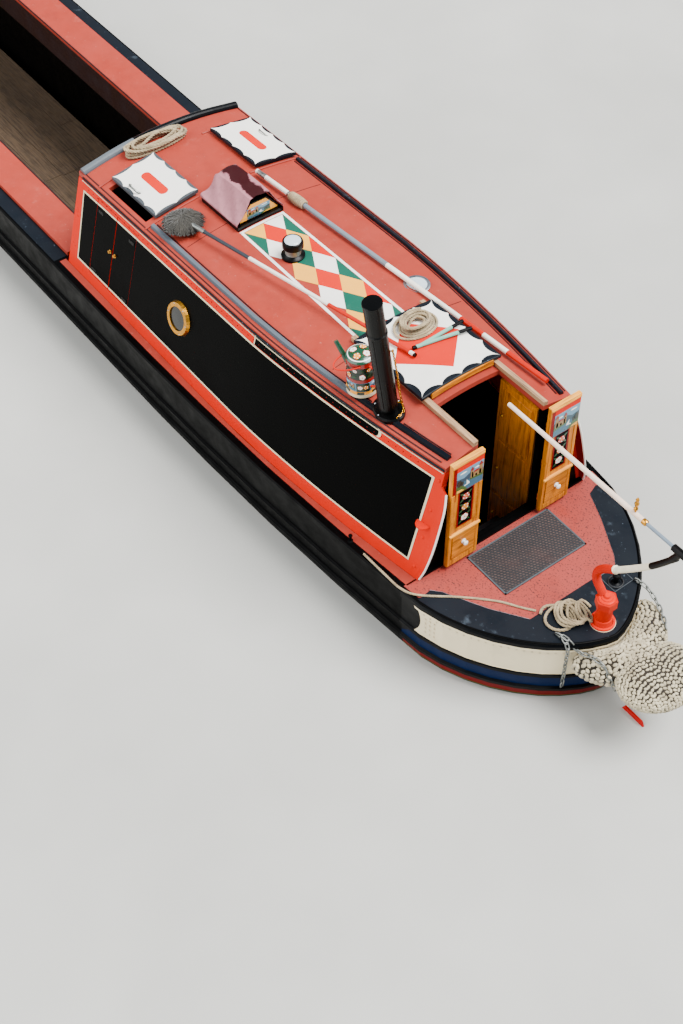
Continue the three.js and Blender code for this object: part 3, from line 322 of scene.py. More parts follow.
class Pile:
    """Points and faces gathered from several shapes, made into one piece."""

    def __init__(self):
        self.points = []
        self.faces = []

    def add(self, points, faces):
        base = len(self.points)
        self.points += [Vector(p) for p in points]
        self.faces += [[base + i for i in face] for face in faces]
        return self

    def rings(self, rings, closed=False):
        """A skin through rings of points, capped at both ends unless it closes on itself."""
        count = len(rings[0])
        faces = []
        for k in range(len(rings) if closed else len(rings) - 1):
            one, two = k * count, ((k + 1) % len(rings)) * count
            for i in range(count):
                j = (i + 1) % count
                faces.append([one + i, one + j, two + j, two + i])
        if not closed:
            faces.append(list(range(count))[::-1])
            faces.append([(len(rings) - 1) * count + i for i in range(count)])
        return self.add([p for ring in rings for p in ring], faces)

    def tube(self, path, radius, sides=8, closed=False):
        """A round tube along points; radius is a number or a function of the share of the way."""
        path = [Vector(p) for p in path]
        size = radius if callable(radius) else (lambda share: radius)
        count = len(path)
        rings, across = [], None
        for k, point in enumerate(path):
            before = path[k - 1] if closed or k else path[0]
            after = path[(k + 1) % count] if closed or k < count - 1 else path[-1]
            along = (after - before).normalized()
            across = across or along.orthogonal()
            across = (across - along * across.dot(along)).normalized()
            other = along.cross(across)
            r = size(k / max(1, count - 1))
            rings.append([point + (across * cos(a) + other * sin(a)) * r for a in angles(sides)])
        return self.rings(rings, closed)

    def turned(self, profile, place, sides=40):
        """A turned shape; profile rows are radius and height, and place is a matrix."""
        rings = []
        for radius, height in profile:
            outline = disc(0, 0, max(radius, POINT), sides)
            rings.append([place @ Vector((x, y, height)) for x, y in outline])
        return self.rings(rings)

    def heads(self, places, radius, high, sides=8):
        """The domed heads of rivets, bolts or screws."""
        profile = [(radius * cos(a), high * sin(a)) for a in steps(0, pi / 2, 4)]
        for place in places:
            self.turned(profile, place, sides)
        return self

    def ball(self, centre, radii, turn, sides=8, bands=5):
        """An ellipsoid with its long axes along the turn's axes."""
        rings = []
        for k in range(bands):
            lift = -cos(pi * (k + 0.5) / bands)
            r = sqrt(1 - lift * lift)
            outline = disc(0, 0, radii[0] * r, sides, radii[1] * r)
            rings.append([centre + turn @ Vector((x, y, radii[2] * lift)) for x, y in outline])
        return self.rings(rings)

    def block(self, low, high, place=Matrix()):
        return self.add([place @ Vector(corner) for corner in product(*zip(low, high))], BLOCK_FACES)

    def slab(self, surface, box, high, edge=0.0025):
        """A small raised panel with sloped edges."""
        u0, v0, u1, v1 = box
        rings = []
        for inset, out in ((0.0, 0.0), (0.0, high - edge), (edge, high)):
            outline = box_outline(u0 + inset, v0 + inset, u1 - inset, v1 - inset)
            rings.append([surface(u, v, out) for u, v in outline])
        return self.rings(rings)

    def plates(self, shapes, surface, low=LOW, high=HIGH, step=0.2):
        """Thin closed plates on a surface. A shape is its outline, then the outlines of its holes."""
        for shape in shapes:
            flat = bmesh.new()
            edges = []
            for loop in shape:
                corners = [flat.verts.new((u, v, 0)) for u, v in loop]
                edges += [flat.edges.new(pair) for pair in zip(corners, corners[1:] + corners[:1])]
            bmesh.ops.triangle_fill(flat, use_beauty=True, edges=edges)
            for axis in (0, 1):
                values = [v.co[axis] for v in flat.verts]
                normal = Vector((1 - axis, axis, 0))
                for k in range(ceil(min(values) / step), floor(max(values) / step) + 1):
                    geometry = flat.verts[:] + flat.edges[:] + flat.faces[:]
                    bmesh.ops.bisect_plane(flat, geom=geometry, plane_co=normal * (k * step), plane_no=normal)
            flat.verts.index_update()
            count = len(flat.verts)
            points = [surface(v.co.x, v.co.y, out) for out in (low, high) for v in flat.verts]
            faces = []
            for face in flat.faces:
                ring = [v.index for v in face.verts]
                faces += [ring[::-1], [i + count for i in ring]]
            for edge in flat.edges:
                if len(edge.link_faces) == 1:
                    ring = [v.index for v in edge.link_faces[0].verts]
                    a, b = (v.index for v in edge.verts)
                    if ring[(ring.index(a) + 1) % len(ring)] != b:
                        a, b = b, a
                    faces.append([a, b, b + count, a + count])
            flat.free()
            self.add(points, faces)
        return self

    def piece(self, name, look, body="boat", sharp=35, smooth=True):
        mesh = bpy.data.meshes.new(name)
        mesh.from_pydata([tuple(p) for p in self.points], [], self.faces)
        tidy = bmesh.new()
        tidy.from_mesh(mesh)
        bmesh.ops.recalc_face_normals(tidy, faces=tidy.faces[:])
        tidy.to_mesh(mesh)
        tidy.free()
        dress(mesh, look, sharp, smooth)
        made = bpy.data.objects.new(name, mesh)
        bpy.context.scene.collection.objects.link(made)
        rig.ride(made, body)
        return made


def dress(mesh, look, sharp, smooth=True):
    """Gives a mesh its material, and smooth shading between its sharp edges."""
    mesh.materials.clear()
    mesh.materials.append(LOOKS[look])
    if smooth:
        mesh.polygons.foreach_set("use_smooth", [True] * len(mesh.polygons))
        mesh.set_sharp_from_angle(angle=radians(sharp))


# Outlines
def disc(u, v, radius, count, other=None):
    return [(u + radius * cos(a), v + (other or radius) * sin(a)) for a in angles(count)]


def box_outline(u0, v0, u1, v1):
    return [(u0, v0), (u1, v0), (u1, v1), (u0, v1)]


def rounded(u0, v0, u1, v1, radius, count=6):
    u0, v0, u1, v1 = u0 + radius, v0 + radius, u1 - radius, v1 - radius
    out = []
    for quarter, (cu, cv) in enumerate([(u1, v0), (u1, v1), (u0, v1), (u0, v0)]):
        for a in steps(pi * (quarter - 1) / 2, pi * quarter / 2, count):
            out.append((cu + radius * cos(a), cv + radius * sin(a)))
    return out


def scalloped(u0, v0, u1, v1, along, across, depth, edge, count=8):
    """A rectangle whose sides are rows of hollow curves with points between them."""
    corners = [Vector(p) for p in box_outline(u0 + edge, v0 + edge, u1 - edge, v1 - edge)]
    out = []
    for k in range(4):
        a, b = corners[k], corners[(k + 1) % 4]
        waves = across if k % 2 else along
        inward = Vector((-(b - a).y, (b - a).x)).normalized()
        for s in range(waves * count):
            hollow = depth * sin(pi * (s % count) / count) ** 0.7
            out.append(tuple(a.lerp(b, s / (waves * count)) + inward * hollow))
    return out


def mirrored(outline):
    return [(u, -v) for u, v in outline]


def both_sides(outline):
    return [[outline], [mirrored(outline)]]


def clipped(outline, u0, v0, u1, v1):
    """The part of an outline that lies in a rectangle."""
    out = list(outline)
    for axis, limit, keep in ((0, u0, 1), (0, u1, -1), (1, v0, 1), (1, v1, -1)):
        ring, out = out, []
        for k, here in enumerate(ring):
            before = ring[k - 1]
            here_in = (here[axis] - limit) * keep >= 0
            if here_in != ((before[axis] - limit) * keep >= 0):
                share = (limit - before[axis]) / (here[axis] - before[axis])
                out.append(tuple(before[i] + (here[i] - before[i]) * share for i in (0, 1)))
            if here_in:
                out.append(here)
        if len(out) < 3:
            return None
    return out


def smooth_path(points, count):
    """Points along a Catmull-Rom curve through the given points."""
    points = [Vector(p) for p in points]
    last = len(points) - 1
    out = []
    for k in range(last):
        a, b, c, d = (points[min(last, max(0, k + i))] for i in (-1, 0, 1, 2))
        for s in range(count):
            t = s / count
            square, cube = (2 * a - 5 * b + 4 * c - d) * t * t, (3 * b - 3 * c + d - a) * t * t * t
            out.append(0.5 * (2 * b + (c - a) * t + square + cube))
    return out + [points[-1]]


def even_path(path, count):
    """A line's points again, at even distances along it, and its length."""
    line = [Vector(p) for p in path]
    length = sum((b - a).length for a, b in zip(line, line[1:]))
    out, k, walked = [], 0, 0.0
    for i in range(count + 1):
        target = length * i / count
        while k < len(line) - 2 and walked + (line[k + 1] - line[k]).length < target:
            walked += (line[k + 1] - line[k]).length
            k += 1
        span = max(1e-9, (line[k + 1] - line[k]).length)
        out.append(line[k].lerp(line[k + 1], min(1.0, (target - walked) / span)))
    return out, length


# Materials
DEPTH = 1.4  # the studio light is strong and pales colours, so each is made a little deeper
COAT_ROUGHNESS = 0.1


def linear(code):
    """A colour from its six hex digits."""
    parts = [int(code[i : i + 2], 16) / 255 for i in (0, 2, 4)]
    parts = [p / 12.92 if p <= 0.04045 else ((p + 0.055) / 1.055) ** 2.4 for p in parts]
    return tuple(p**DEPTH for p in parts) + (1.0,)


def shade(colour, times, grey=0.0):
    """A colour made lighter or darker, and greyer by a share of its brightest part."""
    more = grey * max(colour[:3])
    return tuple(min(1.0, c * times + more) for c in colour[:3]) + (1.0,)


class Finish:
    """A material's node tree, with short calls for its usual nodes."""

    def __init__(self, name, rough=0.5, metal=0.0, coat=0.0, specular=0.5, sheen=0.0):
        self.name = name
        self.material = bpy.data.materials.new(name)
        self.material.use_nodes = True
        self.tree = self.material.node_tree
        self.surface = self.tree.nodes["Principled BSDF"]
        fixed = {
            "Roughness": rough,
            "Metallic": metal,
            "Coat Weight": coat,
            "Coat Roughness": COAT_ROUGHNESS,
            "Specular IOR Level": specular,
            "Sheen Weight": sheen,
        }
        for key, value in fixed.items():
            self.surface.inputs[key].default_value = value
        self.where = self.node("ShaderNodeTexCoord").outputs["Object"]

    def join(self, value, socket):
        if isinstance(value, bpy.types.NodeSocket):
            self.tree.links.new(value, socket)
        else:
            socket.default_value = value

    def node(self, kind, inputs=None, **settings):
        made = self.tree.nodes.new(kind)
        for key, value in settings.items():
            setattr(made, key, value)
        for key, value in (inputs or {}).items():
            self.join(value, made.inputs[key])
        return made

    def noise(self, scale, detail=4.0, rough=0.55, stretch=(1, 1, 1), shift=(0, 0, 0), distortion=0.0):
        place = self.node("ShaderNodeMapping", {"Vector": self.where, "Scale": stretch, "Location": shift})
        inputs = {"Scale": scale, "Detail": detail, "Roughness": rough, "Distortion": distortion}
        return self.node("ShaderNodeTexNoise", {"Vector": place.outputs[0], **inputs}).outputs["Fac"]

    def ramp(self, value, stops):
        made = self.node("ShaderNodeValToRGB", {"Fac": value})
        for k, (place, colour) in enumerate(stops):
            stop = made.color_ramp.elements[k] if k < 2 else made.color_ramp.elements.new(place)
            stop.position = place
            stop.color = colour if isinstance(colour, tuple) else (colour, colour, colour, 1)
        return made.outputs["Color"]

    def mask(self, scale, low, high, detail=5, rough=0.6, **more):
        """Zero to one as a noise passes between two limits."""
        return self.ramp(self.noise(scale, detail, rough, **more), [(low, 0.0), (high, 1.0)])

    def mix(self, share, one, two, blend="MIX"):
        made = self.node("ShaderNodeMix", data_type="RGBA", blend_type=blend)
        for socket, value in ((0, share), (6, one), (7, two)):
            self.join(value, made.inputs[socket])
        return made.outputs[2]

    def over(self, under, mask, share, colour):
        """A colour laid over another by a share of a mask."""
        top = linear(colour) if isinstance(colour, str) else colour
        return self.mix(self.math("MULTIPLY", mask, share), under, top)

    def bands(self, measure, bands):
        """The first band's colour, then each band's own where the measure is past its limit."""
        out = linear(bands[0][1])
        for limit, code in bands[1:]:
            out = self.mix(self.math("GREATER_THAN", measure, limit), out, linear(code))
        return out

    def math(self, operation, one, two=0.0, three=0.0):
        return self.node("ShaderNodeMath", {0: one, 1: two, 2: three}, operation=operation).outputs[0]

    def axis(self, letter):
        return self.node("ShaderNodeSeparateXYZ", {0: self.where}).outputs[letter]

    def bump(self, height, strength, distance, under=None):
        inputs = {"Height": height, "Strength": strength, "Distance": distance}
        if under is not None:
            inputs["Normal"] = under
        return self.node("ShaderNodeBump", inputs).outputs[0]

    def uneven(self, rough, scale=6, low=0.75, high=1.4):
        """A roughness that varies about its middle value."""
        stops = [(0.3, rough * low), (0.75, min(1.0, rough * high))]
        return self.ramp(self.noise(scale, 5, 0.6, shift=(5, 5, 5)), stops)

    def put(self, **sockets):
        names = {"colour": "Base Color", "rough": "Roughness", "normal": "Normal"}
        for key, value in sockets.items():
            self.tree.links.new(value, self.surface.inputs[names[key]])
        LOOKS[self.name] = self.material


LOOKS = {}


def paint(name, code, rough, coat, fade, dirt, soil, specular=0.5, chips=0.0, under=None):
    """Painted steel: broad fading, grime, fine scratches, chips, and the plate's slight waves."""
    f = Finish(name, rough, 0.0, coat, specular)
    colour = linear(code)
    pale = shade(colour, 1.2, 0.08)
    out = f.over(colour, f.mask(1.7, 0.3, 0.7), fade, pale)
    out = f.over(out, f.mask(9, 0.42, 0.75, 6, 0.65, shift=(3, 1, 2)), fade, shade(colour, 0.72))
    out = f.over(out, f.mask(3.5, 0.5, 0.82, 8, 0.72, shift=(7, 5, 1)), dirt, soil)
    out = f.over(out, f.mask(6, 0.66, 0.7, 3, 0.5, stretch=(2, 14, 14), shift=(1, 9, 4)), fade * 0.5, pale)
    if chips:
        out = f.over(out, f.mask(42, 0.69, 0.715, 3, shift=(2, 2, 8)), chips, under)
        out = f.over(out, f.mask(6.5, 0.6, 0.76, 7, 0.7, shift=(2, 9, 4)), chips * 0.6, under)
    normal = f.bump(f.noise(2.2, 2, 0.5), 0.25, 0.004)
    normal = f.bump(f.noise(260, 2, 0.5), 0.06, 0.0006, normal)
    f.put(colour=out, rough=f.uneven(rough), normal=normal)


def grit_paint(name, code):
    """Matt deck paint with sand in it, trodden and stained."""
    f = Finish(name, 0.62)
    colour = linear(code)
    out = f.over(colour, f.mask(2.4, 0.35, 0.7, 7, 0.65, shift=(1, 4, 0)), 0.4, shade(colour, 1.2, 0.06))
    out = f.over(out, f.mask(7, 0.52, 0.8, 9, 0.75, shift=(3, 8, 2)), 0.35, "6e3a34")
    out = f.over(out, f.mask(80, 0.59, 0.64, 2, 0.5, shift=(6, 6, 6)), 0.85, "2a1d1a")
    normal = f.bump(f.noise(520, 3, 0.6), 0.3, 0.0012, f.bump(f.noise(3, 2, 0.5), 0.2, 0.004))
    f.put(colour=out, rough=f.uneven(0.58), normal=normal)


def graining(name, light="d89422", dark="96580c", stretch=(14, 14, 1.1)):
    """Scumbled graining under varnish: long streaks and combed lines up the board."""
    f = Finish(name, 0.3, 0.0, 0.0, 0.15)
    streaks = f.noise(3, 6, 0.6, stretch=stretch, distortion=0.6)
    out = f.ramp(streaks, [(0.3, linear(dark)), (0.5, linear(light)), (0.72, shade(linear(light), 1.3))])
    fine = tuple(s * 6 if s > 2 else s * 1.8 for s in stretch)
    out = f.over(out, f.mask(4, 0.53, 0.66, 2, 0.5, stretch=fine, shift=(2, 3, 1)), 0.5, "5f2f0c")
    out = f.over(out, f.mask(5, 0.5, 0.85, shift=(4, 4, 4)), 0.35, "4a260d")
    f.put(colour=out, rough=f.uneven(0.3), normal=f.bump(f.noise(6, 4, 0.6, stretch=fine), 0.12, 0.0008))


def bare_wood(name, light, dark):
    f = Finish(name, 0.75)
    streaks = f.noise(3, 7, 0.65, stretch=(1.2, 22, 22), distortion=0.4)
    out = f.ramp(streaks, [(0.28, linear(dark)), (0.55, linear(light)), (0.78, shade(linear(light), 1.3))])
    out = f.over(out, f.mask(8, 0.55, 0.8, 6, 0.7, shift=(5, 1, 1)), 0.45, "43362b")
    f.put(colour=out, rough=f.uneven(0.7), normal=f.bump(streaks, 0.35, 0.0015))


def metal(name, code, rough=0.3, tarnish="3b2f1c", share=0.5):
    f = Finish(name, rough, 1.0)
    out = f.over(linear(code), f.mask(26, 0.45, 0.75, 6, 0.65), share, tarnish)
    f.put(colour=out, rough=f.uneven(rough, 40, 0.7, 1.8), normal=f.bump(f.noise(180, 3, 0.5), 0.08, 0.0006))


def fibre(name, code, dark, scale=55):
    """Rope and other fibres."""
    f = Finish(name, 0.92, specular=0.2, sheen=0.25)
    out = f.over(linear(code), f.mask(scale * 0.25, 0.35, 0.75, 6, 0.7), 1.0, dark)
    threads = f.noise(scale * 9, 3, 0.6)
    out = f.mix(f.math("MULTIPLY", threads, 0.3), out, linear("4d4336"), "MULTIPLY")
    f.put(colour=out, rough=f.uneven(0.85), normal=f.bump(threads, 0.5, 0.0012))


def cloth(name, code, pale):
    """Waxed cloth, pale on its sides away from the ridge: partly dust, partly a painted highlight."""
    f = Finish(name, 0.5, 0.0, 0.0, 0.2)
    # Paler away from the ridge: partly dust, partly a painted highlight on the sides
    beside = f.math("ABSOLUTE", f.math("SUBTRACT", f.axis("Y"), 0.02))
    dust_and_highlight = f.math("MULTIPLY_ADD", beside, 5.5, f.noise(4.2, 6, 0.55, distortion=0.8))
    out = f.over(linear(code), f.ramp(dust_and_highlight, [(0.8, 0.0), (0.88, 1.0)]), 0.8, pale)
    out = f.over(out, f.mask(30, 0.5, 0.8, 4, 0.6), 0.3, shade(linear(code), 0.6))
    normal = f.bump(f.noise(900, 2, 0.5), 0.2, 0.0004, f.bump(f.noise(28, 4, 0.6), 0.4, 0.002))
    f.put(colour=out, rough=f.uneven(0.5), normal=normal)


def tinted_glass(name, code, through):
    f = Finish(name, 0.05)
    f.surface.inputs["Transmission Weight"].default_value = through
    out = f.over(linear(code), f.mask(20, 0.3, 0.8), 0.5, shade(linear(code), 0.8))
    f.put(colour=out, rough=f.uneven(0.07, 30), normal=f.bump(f.noise(25, 2, 0.5), 0.05, 0.001))


def banded(name, rule, bands):
    """Paint that changes colour along a line: rule makes the measure, and bands are limits and colours."""
    f = Finish(name, 0.35, specular=0.12)
    out = f.bands(rule(f), bands)
    out = f.over(out, f.mask(14, 0.45, 0.8, 6, 0.65), 0.15, "4a3a30")
    f.put(colour=out, rough=f.uneven(0.35), normal=f.bump(f.noise(120, 3, 0.6), 0.12, 0.0008))


def slope_rule(direction, origin):
    """The distance of a point from an origin along a direction."""
    way, origin = Vector(direction).normalized(), Vector(origin)

    def rule(f):
        moved = f.node("ShaderNodeVectorMath", {0: f.where, 1: origin}, operation="SUBTRACT").outputs[0]
        return f.node("ShaderNodeVectorMath", {0: moved, 1: way}, operation="DOT_PRODUCT").outputs["Value"]

    return rule


# The counter's bands: how far below the deck each starts, and its colour
COUNTER_BANDS = [
    (0.0, "0d1116"),
    (0.045, "f0e4c8"),
    (0.338, "090b0e"),
    (0.377, "08325a"),
    (0.496, "090b0e"),
    (0.547, "8c0d12"),
    (0.621, "5d6c1c"),
    (0.637, "0b0e12"),
]
# Where the bands end beside the bulkhead: in a hollow curve of this depth, middle and half height
BANDS_END = {"forward": -0.13, "depth": 0.055, "middle": 0.19, "half": 0.15}


def counter_finish():
    """Bands below the counter's rim by height, ending in a hollow curve beside the bulkhead."""
    f = Finish("counter_bands", 0.42, specular=0.08)
    depth = f.math("SUBTRACT", DECK, f.axis("Z"))
    out = f.bands(depth, COUNTER_BANDS)
    middle = f.math("DIVIDE", f.math("SUBTRACT", depth, BANDS_END["middle"]), BANDS_END["half"])
    square = f.math("MULTIPLY", middle, middle)
    hollow = f.math("MULTIPLY", f.math("SUBTRACT", 1.0, square), BANDS_END["depth"])
    end = f.math("SUBTRACT", at(BANDS_END["forward"]), hollow)
    out = f.mix(f.math("GREATER_THAN", f.axis("X"), end), out, linear("0e1116"))
    out = f.over(out, f.mask(5, 0.5, 0.85, 7, 0.7), 0.15, "4e473d")
    f.put(colour=out, rough=f.uneven(0.4), normal=f.bump(f.noise(2.4, 2, 0.5), 0.3, 0.005))


# Paints. Columns: name, colour, roughness, coat, fading, dirt, its colour, specular, chips, what they show
PAINTS = [
    ("hull_black", "08090b", 0.45, 0.0, 0.1, 0.35, "1a1815", 0.05, 0.4, "2f2d2b"),
    ("slate", "17232f", 0.5, 0.0, 0.3, 0.25, "2a333b", 0.2, 0.5, "8794a0"),
    ("slate_worn", "63686c", 0.5, 0.0, 0.5, 0.3, "2b3036", 0.3, 0.6, "a0a6aa"),
    ("gloss_black", "040405", 0.25, 0.0, 0.03, 0.1, "101113", 0.018),
    ("stove_black", "050607", 0.28, 0.0, 0.05, 0.2, "16181b", 0.14),
    ("orange_red", "de3a0c", 0.3, 0.0, 0.04, 0.1, "8a1508", 0.05),
    ("deep_red", "9c0c0c", 0.3, 0.0, 0.1, 0.15, "3a1512", 0.08),
    ("salmon", "b0503f", 0.5, 0.0, 0.3, 0.3, "6f3029", 0.3, 0.25, "d8a89c"),
    ("cream", "e4d9bd", 0.35, 0.1, 0.1, 0.18, "9b8a6c", 0.5, 0.15, "8c7a62"),
    ("white", "f8f5ee", 0.38, 0.1, 0.05, 0.14, "a59a86"),
    ("maroon", "3a0c10", 0.5, 0.0, 0.2, 0.3, "2a1513", 0.4),
    ("can_green", "0c5b41", 0.25, 0.3, 0.1, 0.1, "0a2a1c"),
    ("leaf_green", "1a6436", 0.3, 0.2, 0.1, 0.05, "0a2a1c"),
    ("diamond_green", "2c7464", 0.45, 0.0, 0.2, 0.15, "3d5a50", 0.2, 0.15, "9cb8a8"),
    ("diamond_yellow", "f4bc54", 0.45, 0.0, 0.15, 0.15, "a8803f", 0.3, 0.15, "f4dfb4"),
    ("diamond_red", "d8381a", 0.45, 0.0, 0.1, 0.12, "9a3a26", 0.15, 0.1, "f0a890"),
    ("yellow", "f0ac18", 0.3, 0.2, 0.05, 0.05, "8a6010"),
    ("pink", "dd6f5c", 0.3, 0.2, 0.05, 0.05, "8a4030"),
    ("sky", "7aa6ba", 0.3, 0.2, 0.4, 0.1, "e8e3d2"),
    ("stone", "a88a5c", 0.35, 0.1, 0.3, 0.2, "7a6448"),
    ("soot", "040404", 0.95, 0.0, 0.05, 0.1, "0a0a0a", 0.2),
    ("tread_base", "37363a", 0.6, 0.0, 0.3, 0.45, "6b4a44", 0.4),
    ("castle_red", "a42414", 0.3, 0.2, 0.1, 0.1, "4a1510"),
    ("hill_blue", "2c6272", 0.3, 0.2, 0.3, 0.1, "24505e"),
    ("lake", "3c7c90", 0.3, 0.2, 0.3, 0.1, "2f6f84"),
    ("field_green", "4a7430", 0.3, 0.2, 0.3, 0.1, "35561f"),
    ("dark_green", "0d3a25", 0.3, 0.2, 0.1, 0.1, "071c12"),
    ("china", "f7f5f0", 0.15, 0.5, 0.03, 0.05, "b8b0a0"),
    ("engine_green", "16372a", 0.35, 0.1, 0.2, 0.45, "1c1a16"),
    ("cast_iron", "2c2e32", 0.55, 0.0, 0.3, 0.4, "5b3f34", 0.4),
]


def materials():
    """Every look but those of BANDS."""
    for row in PAINTS:
        paint(*row)
    grit_paint("salmon_deck", "a84a3c")
    graining("grained")
    graining("grained_across", stretch=(14, 1.1, 14))
    graining("pale_grain", "f4b85c", "d8923a", stretch=(14, 1.1, 14))
    bare_wood("worn_wood", "bfa080", "77604a")
    bare_wood("planks", "7d6a55", "3f342a")
    metal("brass", "dcaa4c", 0.22)
    metal("steel", "b9bdc2", 0.28, "55504a", 0.4)
    metal("galvanised", "a6a8a4", 0.42, "4a4a48", 0.5)
    metal("tread_worn", "94837c", 0.45, "5b4540", 0.5)
    fibre("rope", "cfbfa0", "8f7e64")
    fibre("fender_rope", "e2d8be", "9c9076", 40)
    # Dark brown under the fenders' knobs: painted shade in the gaps between them
    fibre("fender_gap_shade", "4e4536", "29231b")
    fibre("mop_wool", "625f58", "141312", 30)
    cloth("maroon_cloth", "4c0c18", "c6959c")
    tinted_glass("dark_glass", "1a2124", 0.2)
    tinted_glass("pale_glass", "dfe9ee", 0.15)
    counter_finish()


materials()

# Camera, light and floor
CAMERA = {"azimuth": 233.3, "elevation": 49.4, "roll": -0.42, "lens": 56.65, "sensor": 36}
CAMERA_PLACE = (-14.716, 5.307, 10.217)
# Columns: name, strength, how far it is turned about x and y in degrees, how wide it looks in degrees
SUNS = [
    ("key", 8.5, 20, -20, 36),
    ("fill", 3.6, -48, 26, 60),
]
SKY = {"colour": (0.78, 0.86, 0.95, 1), "strength": 0.68}
FLOOR_HALF = 60
HOLD_STATIONS = (4.33, 15.4, 16.8, 17.33)
HOLD_WALL = 0.072  # from the gunwale's edge to the middle of the wall below it


def camera():
    data = bpy.data.cameras.new("camera")
    data.lens, data.sensor_width = CAMERA["lens"], CAMERA["sensor"]
    made = bpy.data.objects.new("camera", data)
    bpy.context.scene.collection.objects.link(made)
    a, e = radians(CAMERA["azimuth"]), radians(CAMERA["elevation"])
    back = Vector((sin(a) * cos(e), -cos(a) * cos(e), sin(e)))
    right = UP.cross(back).normalized()
    turn = Matrix((right, back.cross(right), back)).transposed()
    roll = Matrix.Rotation(radians(CAMERA["roll"]), 3, "Z")
    made.matrix_world = Matrix.Translation(CAMERA_PLACE) @ (turn @ roll).to_4x4()
    bpy.context.scene.camera = made


def lights():
    world = bpy.data.worlds.new("studio")
    bpy.context.scene.world = world
    world.use_nodes = True
    ground = world.node_tree.nodes["Background"]
    ground.inputs["Color"].default_value = SKY["colour"]
    ground.inputs["Strength"].default_value = SKY["strength"]
    for name, energy, about_x, about_y, wide in SUNS:
        data = bpy.data.lights.new(name, "SUN")
        data.energy = energy
        data.angle = radians(wide)
        made = bpy.data.objects.new(name, data)
        made.rotation_euler = (radians(about_x), radians(about_y), 0)
        bpy.context.scene.collection.objects.link(made)


def studio_floor():
    """A floor at the waterline, open where the hull's walls stand round the hold."""
    mesh = bpy.data.meshes.new("floor")
    edge = [(at(forward), breadth(forward) - HOLD_WALL) for forward in HOLD_STATIONS]
    quads = [box_outline(-FLOOR_HALF, -FLOOR_HALF, edge[0][0], FLOOR_HALF)]
    quads.append(box_outline(edge[-1][0], -FLOOR_HALF, FLOOR_HALF, FLOOR_HALF))
    for (x0, y0), (x1, y1) in zip(edge, edge[1:]):
        quads.append([(x0, y0), (x1, y1), (x1, FLOOR_HALF), (x0, FLOOR_HALF)])
        quads.append([(x0, -FLOOR_HALF), (x1, -FLOOR_HALF), (x1, -y1), (x0, -y0)])
    points = [(x, y, WATER) for quad in quads for x, y in quad]
    mesh.from_pydata(points, [], [range(i, i + 4) for i in range(0, len(points), 4)])
    f = Finish("floor", 0.7)
    f.put(colour=f.ramp(f.noise(0.6, 3), [(0.3, linear("bfbeb9")), (0.7, linear("c9c8c3"))]))
    mesh.materials.append(f.material)
    made = bpy.data.objects.new("floor", mesh)
    bpy.context.scene.collection.objects.link(made)
    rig.stage(made)


camera()
lights()
studio_floor()


# Ropes
STRANDS = 3
ROPE_STEP, ROPE_LAY, STRAND = 0.42, 3.2, 0.29  # in diameters: a step, one turn of a strand, its radius


def laid_rope(name, path, diameter, body):
    """Strands laid round a path, as one piece. Returns the piece, the path's even points and its length."""
    length = even_path(path, 1)[1]
    even, length = even_path(path, int(length / (diameter * ROPE_STEP)))
    strand = diameter * STRAND
    frames, across = [], None
    for i, point in enumerate(even):
        along = (even[min(len(even) - 1, i + 1)] - even[max(0, i - 1)]).normalized()
        across = across or along.orthogonal()
        across = (across - along * across.dot(along)).normalized()
        frames.append((point, across.copy(), along.cross(across)))
    pile = Pile()
    for s in range(STRANDS):
        twisted = []
        for i, (point, one, two) in enumerate(frames):
            a = 2 * pi * (i * ROPE_STEP / ROPE_LAY + s / STRANDS)
            twisted.append(point + (one * cos(a) + two * sin(a)) * (diameter * 0.5 - strand))
        pile.tube(twisted, strand, 6)
    return pile.piece(name, "rope", body, sharp=80), even, length


def settled(plan, diameter, ground, ceiling):
    """Lays plan points down in order, each stretch over what already lies there."""
    laid = []
    for k, (x, y) in enumerate(plan):
        z = ground(x, y) + diameter / 2
        for under in laid[: max(0, k - 4)]:
            gap = (under.x - x) ** 2 + (under.y - y) ** 2
            if gap < diameter**2:
                z = max(z, under.z + sqrt(diameter**2 - gap))
        laid.append(Vector((x, y, min(z, ceiling))))
    for _ in range(6):
        for a, b, c in zip(laid, laid[1:], laid[2:]):
            b.z = max(b.z, (a.z + c.z) / 2)
    return laid


# Coils. Columns: name, body, rope's diameter, turns, how far the turns spread inward and stray, then the
# first and the last turn by its middle forward and y, half length, half width and the turn of its long axis
COILS = [
    ("front_coil", "boat", 0.026, 6.8, 0.045, 0.03,
     (4.165, 0.13, 0.118, 0.28, 0.0), (4.17, 0.13, 0.112, 0.24, 0.0)),
    ("rear_coil", "rear_slide", 0.021, 8.3, 0.095, 0.006,
     (1.1, -0.055, 0.145, 0.175, 0.1), (1.1, -0.05, 0.13, 0.165, 0.1)),
    ("stern_coil", "boat", 0.023, 7.3, 0.012, 0.014,
     (-0.84, 0.225, 0.12, 0.105, 0.0), (-0.935, 0.055, 0.1, 0.05, -0.4)),
]
SLIDE_TOP = {"aft": 0.53, "up": 0.072}  # the rear slide's aft edge, and its face above the roof there
LINE_DIAMETER = 0.018
# The stern line: distance forward, y, height above the deck
LINE_ROUTE = [
    (0.4, 0.93, 0.011),
    (0.18, 0.925, 0.0105),
    (0.0, 0.915, 0.012),
    (-0.12, 0.85, 0.011),
    (-0.3, 0.64, 0.01),
    (-0.48, 0.46, 0.01),
    (-0.62, 0.365, 0.01),
    (-0.704, 0.304, 0.012),
]
POINTS_A_TURN = 36
START_ANGLE = 0.75
STRAYS = (0.3, 1.5, 1.0, 1.5, 5.0)  # how much each of a turn's five values strays


